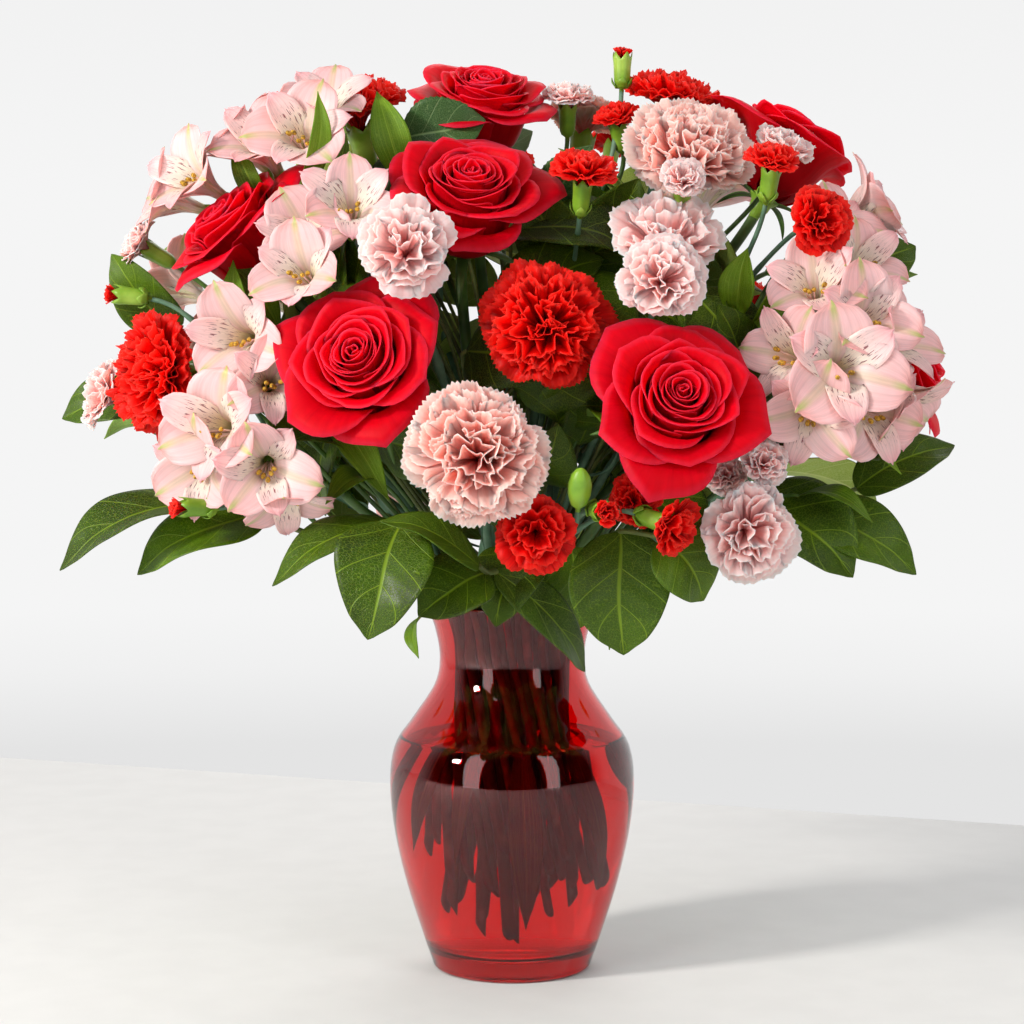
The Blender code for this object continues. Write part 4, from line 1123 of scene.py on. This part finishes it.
def forked(name, kind, heads, tall):
    """The main stem, its branches, and where each head stands on them."""
    facings = [unit(aim) for _, aim, _ in heads]
    feet = [np.array(place) - f * tall(r) for (place, _, r), f in zip(heads, facings)]
    thick = STEM_RADIUS[kind]
    if len(heads) == 1:
        route = stem_route(name, name, feet[0], facings[0])
        return [(route, thick)], feet, facings
    _, crossing = lower_stem(name)
    middle = np.mean(feet, 0)
    fork = crossing + (middle - crossing) * FORK_SHARE + (0, 0, FORK_LIFT)
    away = unit(middle - crossing)
    stems = [(stem_route(name, name, fork, away, 24), thick)]
    for number, (foot, facing) in enumerate(zip(feet, facings)):
        stems.append((branch_route(fork, away, foot, facing, number), thick * 0.6))
    return stems, feet, facings


def spray_height(radius):
    """How far a small bloom, or a bud, stands above the end of its branch."""
    return 25.0 if radius < 10 else 17 + radius * 0.95 * 0.9


def spray_bloom(foot, facing, radius, dice):
    """Petals, green cup and scales of one small carnation; under 7 mm it is a closed green bud."""
    cup = min(4.6, radius * 0.85)
    length = 14.0 if radius < 10 else 15.0
    spin = dice.uniform(0, ANY_PHASE)
    if radius < 7:
        closed = lathe([(0, -2), (1.3, -2), (1.3, 0), (4.2, 3), (5.6, 8), (5.8, 13), (4.6, 18),
                        (2.4, 21.5), (0, 23)], 24, 0.03, 5)
        return [], [patch(stand(closed, foot, facing), 1)], []
    greens = [patch(stand(calyx(cup, length, 1.3), foot, facing, spin), 1)]
    scales = [patch(stand(bracts(cup, length), foot, facing, spin), 1)]
    if radius < 10:
        grown, tone = carnation_petals(radius * 1.3, dice, 14, 6, 13, 34.0, 0.9, 0.7)
    else:
        grown, tone = carnation_petals(radius * 1.06, dice, 30, 6, 17, 102.0, 1.15, 0.7)
    return [patch(stand(grown, foot + facing * (length - 1.5), facing, spin), 0, tone)], greens, scales


def make_spray(name, heads):
    """One spray of small carnations: a forked stem with its blooms and buds."""
    dice = dice_for(name)
    stems, feet, facings = forked(name, "spray", heads, spray_height)
    skin, slot = (PALE_SKIN, "carnation_pink") if "pink" in name else (RED_SKIN, "carnation_red")
    petals, scales = [], []
    greens = [patch(tube(route, knuckled(route, radius, 40.0), 10, SLANT), 0) for route, radius in stems]
    for (_, _, radius), foot, facing in zip(heads, feet, facings):
        for kept, grown in zip((petals, greens, scales), spray_bloom(foot, facing, radius, dice)):
            kept += grown
    piece(name + "_petals", petals, [skin], [name], thickness=0.3)
    piece(name + "_stalks", greens, [CARNATION_STEM, CALYX_SKIN], [name], welded=True)
    scales += [patch(b, 0) for b in carnation_leaves(stems[0][0], dice, (18, 26))]
    piece(name + "_blades", scales, [CARNATION_STEM, CALYX_SKIN], [name], thickness=0.4)


def floret(foot, facing, radius, dice):
    """Tepals, stamens and ribbed ovary of one alstroemeria flower."""
    spin = dice.normal(0, 0.25)
    silk = []
    for inner, look in ((False, 0), (True, 1)):
        grown, tone = tepals(radius * 1.1, dice, inner)
        silk.append(patch(stand(grown, foot, facing, spin), look, tone))
    inside = [patch(stand(part, foot, facing, spin), look - 2) for part, look in stamens(radius, dice)]
    ovary = lathe([(0, -1), (1.4, -1), (2.4, 1), (3.4, 3.5), (3.5, 6), (2.6, 8.5), (0, 8.8)], 36, 0.1, 6)
    return silk, inside, [patch(stand(ovary, foot, facing), 1)]


def make_alstroemeria(name, heads):
    """One alstroemeria: a forked stem with its trumpet florets."""
    dice = dice_for(name)
    stems, feet, facings = forked(name, "alstroemeria", heads, floret_height)
    greens = [patch(tube(route, radius, 10, SLANT), 0) for route, radius in stems]
    silk, inside = [], []
    for (_, _, radius), foot, facing in zip(heads, feet, facings):
        for kept, grown in zip((silk, inside, greens), floret(foot, facing, radius, dice)):
            kept += grown
    piece(name + "_tepals", silk, [OUTER_TEPAL, INNER_TEPAL], [name], thickness=0.35)
    piece(name + "_stamens", inside, [FILAMENT, POLLEN], [name], welded=True)
    piece(name + "_stalks", greens, [ROSE_STEM, CALYX_SKIN], [name], welded=True)


def side_shoot(foot, facing):
    """A thin stalk from a loose bloom's foot back to the gathered stems."""
    inward = np.array([foot[0] * 0.5, foot[1] * 0.5, max(foot[2] - 70, 210)])
    return patch(tube(bezier(inward, inward * 0.5 + foot * 0.5, foot - facing * 14, foot, 14), 1.3, 8), 0)


def make_loose_blooms():
    """The side shoots' own small blooms, one piece for each kind of petal."""
    stalks = []
    for label, table, skin, slot in (
        ("red", RED_BUDS, RED_SKIN, "carnation_red"), ("pink", PINK_BUDS, PALE_SKIN, "carnation_pink"),
    ):
        dice = dice_for(label + "_side_blooms")
        petals = []
        for place, aim, radius in table:
            facing = unit(aim)
            foot = np.array(place) - facing * spray_height(radius)
            grown, greens, _ = spray_bloom(foot, facing, radius, dice)
            petals += grown
            stalks += [*greens, side_shoot(foot, facing)]
        piece(label + "_side_blooms", petals, [skin], thickness=0.3)
    dice = dice_for("side_florets")
    silk, inside = [], []
    for place, aim, radius in LOOSE_FLORETS:
        facing = unit(aim)
        foot = np.array(place) - facing * floret_height(radius)
        for kept, grown in zip((silk, inside, stalks), floret(foot, facing, radius, dice)):
            kept += grown
        stalks.append(side_shoot(foot, facing))
    piece("side_florets", silk, [OUTER_TEPAL, INNER_TEPAL], thickness=0.35)
    piece("side_floret_stamens", inside, [FILAMENT, POLLEN], welded=True)
    piece("side_shoots", stalks, [ROSE_STEM, CALYX_SKIN], welded=True)


def make_greens():
    """Leaves inside the bouquet: directions spaced by the golden angle, each leaf lying across its
    direction on an egg-shaped shell behind the blooms, so that no gap shows the wall behind."""
    dice = dice_for("greens")
    blades, stalks = [], []
    centre, span = np.array(GREENS_CENTRE), np.array(GREENS_SPAN)
    for i in range(GREENS):
        height = -0.72 + 1.62 * (i + 0.5) / GREENS
        out = np.array([math.cos(i * GOLDEN), math.sin(i * GOLDEN), 0]) * math.sqrt(1 - height**2)
        out[2] = height
        across = unit(np.cross(out, dice.normal(0, 1, 3)))
        base = centre + unit(out) * span * dice.uniform(0.5, 0.66)
        tip = base + across * dice.uniform(48, 66) + unit(out) * dice.uniform(0, 20)
        width = dice.uniform(28, 40)
        tip[2] = max(tip[2], 222)
        blade = leaf(base, tip, width, out, "salal", dice, GREENS_CELLS)
        blades.append(patch(blade, 0, dice.uniform(0.0, 0.6)))
        inward = np.array([base[0] * 0.4, base[1] * 0.4, max(base[2] - 70, 205)])
        line = bezier(inward, inward * 0.6 + base * 0.4, base - across * 10, base, 8)
        stalks.append(patch(tube(line, 1.1, 6)))
    piece("inner_greens", blades, [SALAL_TOP, SALAL_UNDER], thickness=0.4, under=1)
    piece("inner_green_stalks", stalks, [WOODY_STEM], welded=True)
    sunk = [patch(leaf(base, tip, width, upper, "lily", dice), 0, 0.3)
            for base, tip, width, upper in SUNK_LEAVES]
    piece("sunk_leaves", sunk, [LILY_TOP, LILY_UNDER], thickness=0.4, under=1)


def make_salal(name, leaves):
    """One branch of salal: a woody twig with broad leaves."""
    dice = dice_for(name)
    first = np.array(leaves[0][0], float)
    _, crossing = lower_stem(name)
    route = stem_route(name, name, first, unit(first - crossing))
    if len(leaves) > 1:
        knots = [route[-6], *[row[0] for row in leaves]]
        route = np.concatenate([route[:-6], through(knots, 9 * len(leaves) + 1)])
    radii = np.interp(np.arange(len(route)), [0, 14, len(route) - 1], [1.9, 1.9, 1.3])
    twig = [patch(tube(route, radii, 10, SLANT))]
    piece(name + "_twig", twig, [WOODY_STEM], [name], welded=True)
    blades = []
    for base, tip, width, upper in leaves:
        blades.append(patch(leaf(base, tip, width, upper, "salal", dice), 0, dice.uniform(0.2, 0.8)))
    piece(name + "_leaves", blades, [SALAL_TOP, SALAL_UNDER], [name], thickness=0.45, under=1)


def make_foliage():
    """Each loose leaf, and the thin stalk that runs from it back towards the gathered stems."""
    skins = {"lily": (LILY_TOP, LILY_UNDER), "salal": (SALAL_TOP, SALAL_UNDER),
             "rose": (ROSE_LEAF_TOP, ROSE_LEAF_UNDER)}
    for kind, looks in skins.items():
        blades, stalks = [], []
        for number, (sort, base, tip, width, upper) in enumerate(FOLIAGE):
            if sort != kind:
                continue
            dice = dice_for(f"{kind} {number}")
            blades.append(patch(leaf(base, tip, width, upper, kind, dice), 0, dice.uniform(0.2, 0.8)))
            base, tip = np.array(base, float), np.array(tip, float)
            inward = np.array([base[0] * 0.62, base[1] * 0.62, max(base[2] - 34, 205)])
            leaving = base - unit(tip - base) * 12
            stalks.append(patch(tube(bezier(inward, inward * 0.5 + leaving * 0.5, leaving, base, 12),
                                     np.linspace(1.3, 0.8, 12), 8)))
        piece(kind + "_loose_leaves", blades, list(looks), thickness=0.4, under=1)
        piece(kind + "_leaf_stalks", stalks, [ROSE_STEM], welded=True)


def stem_tops():
    """Where each stem is headed: its bloom, the middle of its blooms, or its lowest leaf."""
    tops = {name: row[0] for table in (ROSES, CARNATIONS) for name, row in table.items()}
    for table in (SPRAYS, ALSTROEMERIAS):
        tops.update({name: tuple(np.mean([row[0] for row in rows], 0)) for name, rows in table.items()})
    tops.update({name: leaves[0][0] for name, leaves in SALALS.items()})
    return tops


SLOTS = neck_slots(stem_tops())
NUMBERS = {name: i for i, name in enumerate(sorted(SLOTS))}

make_vase()
make_water()
for name, (place, aim, radius) in ROSES.items():
    make_rose(name, place, aim, radius)
for name, (place, aim, radius) in CARNATIONS.items():
    make_carnation(name, place, aim, radius)
for name, heads in SPRAYS.items():
    make_spray(name, heads)
for name, heads in ALSTROEMERIAS.items():
    make_alstroemeria(name, heads)
for name, leaves in SALALS.items():
    make_salal(name, leaves)
make_foliage()
make_loose_blooms()
make_greens()


# ---------------------------------------------------------------- table, light and camera

TABLE_CORNERS = [(-3, -2.2), (3, -2.2), (3, -0.566), (-3, 1.58)]  # metres
TABLE_TOP = -0.0002  # just under the vase


def make_table():
    """A matt white table top whose far edge runs a little askew behind the vase."""
    made, tree, shader = blank("matt_white_laminate", Roughness=0.75)
    speck = noise(tree, position(tree), 30.0, 5.0)
    dye(tree, shader, ramp(tree, speck, [(0.3, "#E4E3E1"), (0.7, "#E7E6E4")]))
    mesh = bpy.data.meshes.new("table_top")
    mesh.from_pydata([(x, y, TABLE_TOP) for x, y in TABLE_CORNERS], [], [(0, 1, 2, 3)])
    mesh.materials.append(made)
    top = bpy.data.objects.new("table_top", mesh)
    bpy.context.scene.collection.objects.link(top)


# name, place in metres, width, height, watts, colour
LIGHTS = [
    ("key_lamp", (-1.75, -1.1, 1.15), 0.3, 0.3, 40, "#FFFBF5"),
    ("left_window", (-1.17, -1.5, 1.05), 0.62, 2.3, 15, "#FFFFFF"),
    ("right_window", (1.2, -1.5, 1.05), 0.5, 2.3, 11, "#FFFFFF"),
    ("wall_bounce", (0.3, 1.5, 1.4), 1.4, 0.8, 9, "#FFFFFF"),
]
LIT_POINT = Vector((0, 0, 0.22))


def softbox(name, place, width, height, power, colour):
    """A rectangle of light that faces the bouquet."""
    data = bpy.data.lights.new(name, "AREA")
    data.shape = "RECTANGLE"
    data.size, data.size_y = width, height
    data.energy = power
    data.color = linear(colour)[:3]
    made = bpy.data.objects.new(name, data)
    made.location = place
    made.rotation_mode = "QUATERNION"
    made.rotation_quaternion = (LIT_POINT - Vector(place)).to_track_quat("-Z", "Y")
    made.visible_camera = False
    bpy.context.scene.collection.objects.link(made)


def make_studio():
    """A pale wall behind and a dark room in front, and the lamp and windows of LIGHTS."""
    world = bpy.data.worlds.new("pale_studio")
    world.use_nodes = True
    tree = world.node_tree
    place = add(tree, "ShaderNodeTexCoord").outputs["Generated"]
    heading = add(tree, "ShaderNodeSeparateXYZ", {"Vector": place}).outputs
    shades = [(0.335, "#E4E4E4"), (0.365, "#F0F0F0"), (0.39, "#F5F5F5"), (0.56, "#F5F5F5"),
              (0.66, "#F1F1F1")]
    wall = ramp(tree, sums(tree, "ADD", heading["Z"], 0.5), shades, "LINEAR")
    depth = sums(tree, "ADD", heading["Y"], 0.5)
    front = ramp(tree, depth, [(0.3, "#1C1B1A"), (0.62, "#FFFFFF")], "LINEAR")
    room = mixed(tree, 1.0, wall, front, blend_type="MULTIPLY")
    path = add(tree, "ShaderNodeLightPath").outputs
    seen = add(tree, "ShaderNodeBackground", {"Color": wall, "Strength": 1.0})
    mirrored = add(tree, "ShaderNodeBackground", {"Color": room, "Strength": 0.95})
    soft = add(tree, "ShaderNodeBackground", {"Color": linear("#F2F3F5"), "Strength": 0.5})
    lit = add(tree, "ShaderNodeMixShader",
              {0: path["Is Diffuse Ray"], 1: mirrored.outputs[0], 2: soft.outputs[0]})
    mix = add(tree, "ShaderNodeMixShader",
              {0: path["Is Camera Ray"], 1: lit.outputs[0], 2: seen.outputs[0]})
    tree.links.new(mix.outputs[0], tree.nodes["World Output"].inputs["Surface"])
    bpy.context.scene.world = world
    for light in LIGHTS:
        softbox(*light)


CAMERA_PLACE = (0, -1.3, 0.34)
CAMERA_TILT = 4.04  # degrees below level
LENS, SENSOR = 84.6, 36  # mm


def make_camera():
    """A long lens in front of the bouquet, looking a little down at it."""
    data = bpy.data.cameras.new("studio_camera")
    data.lens = LENS
    data.sensor_width = SENSOR
    data.clip_start, data.clip_end = 0.05, 50
    made = bpy.data.objects.new("studio_camera", data)
    made.location = CAMERA_PLACE
    made.rotation_euler = (math.radians(90 - CAMERA_TILT), 0, 0)
    bpy.context.scene.collection.objects.link(made)
    bpy.context.scene.camera = made


make_table()
make_studio()
make_camera()
bpy.context.scene.view_settings.view_transform = "Standard"
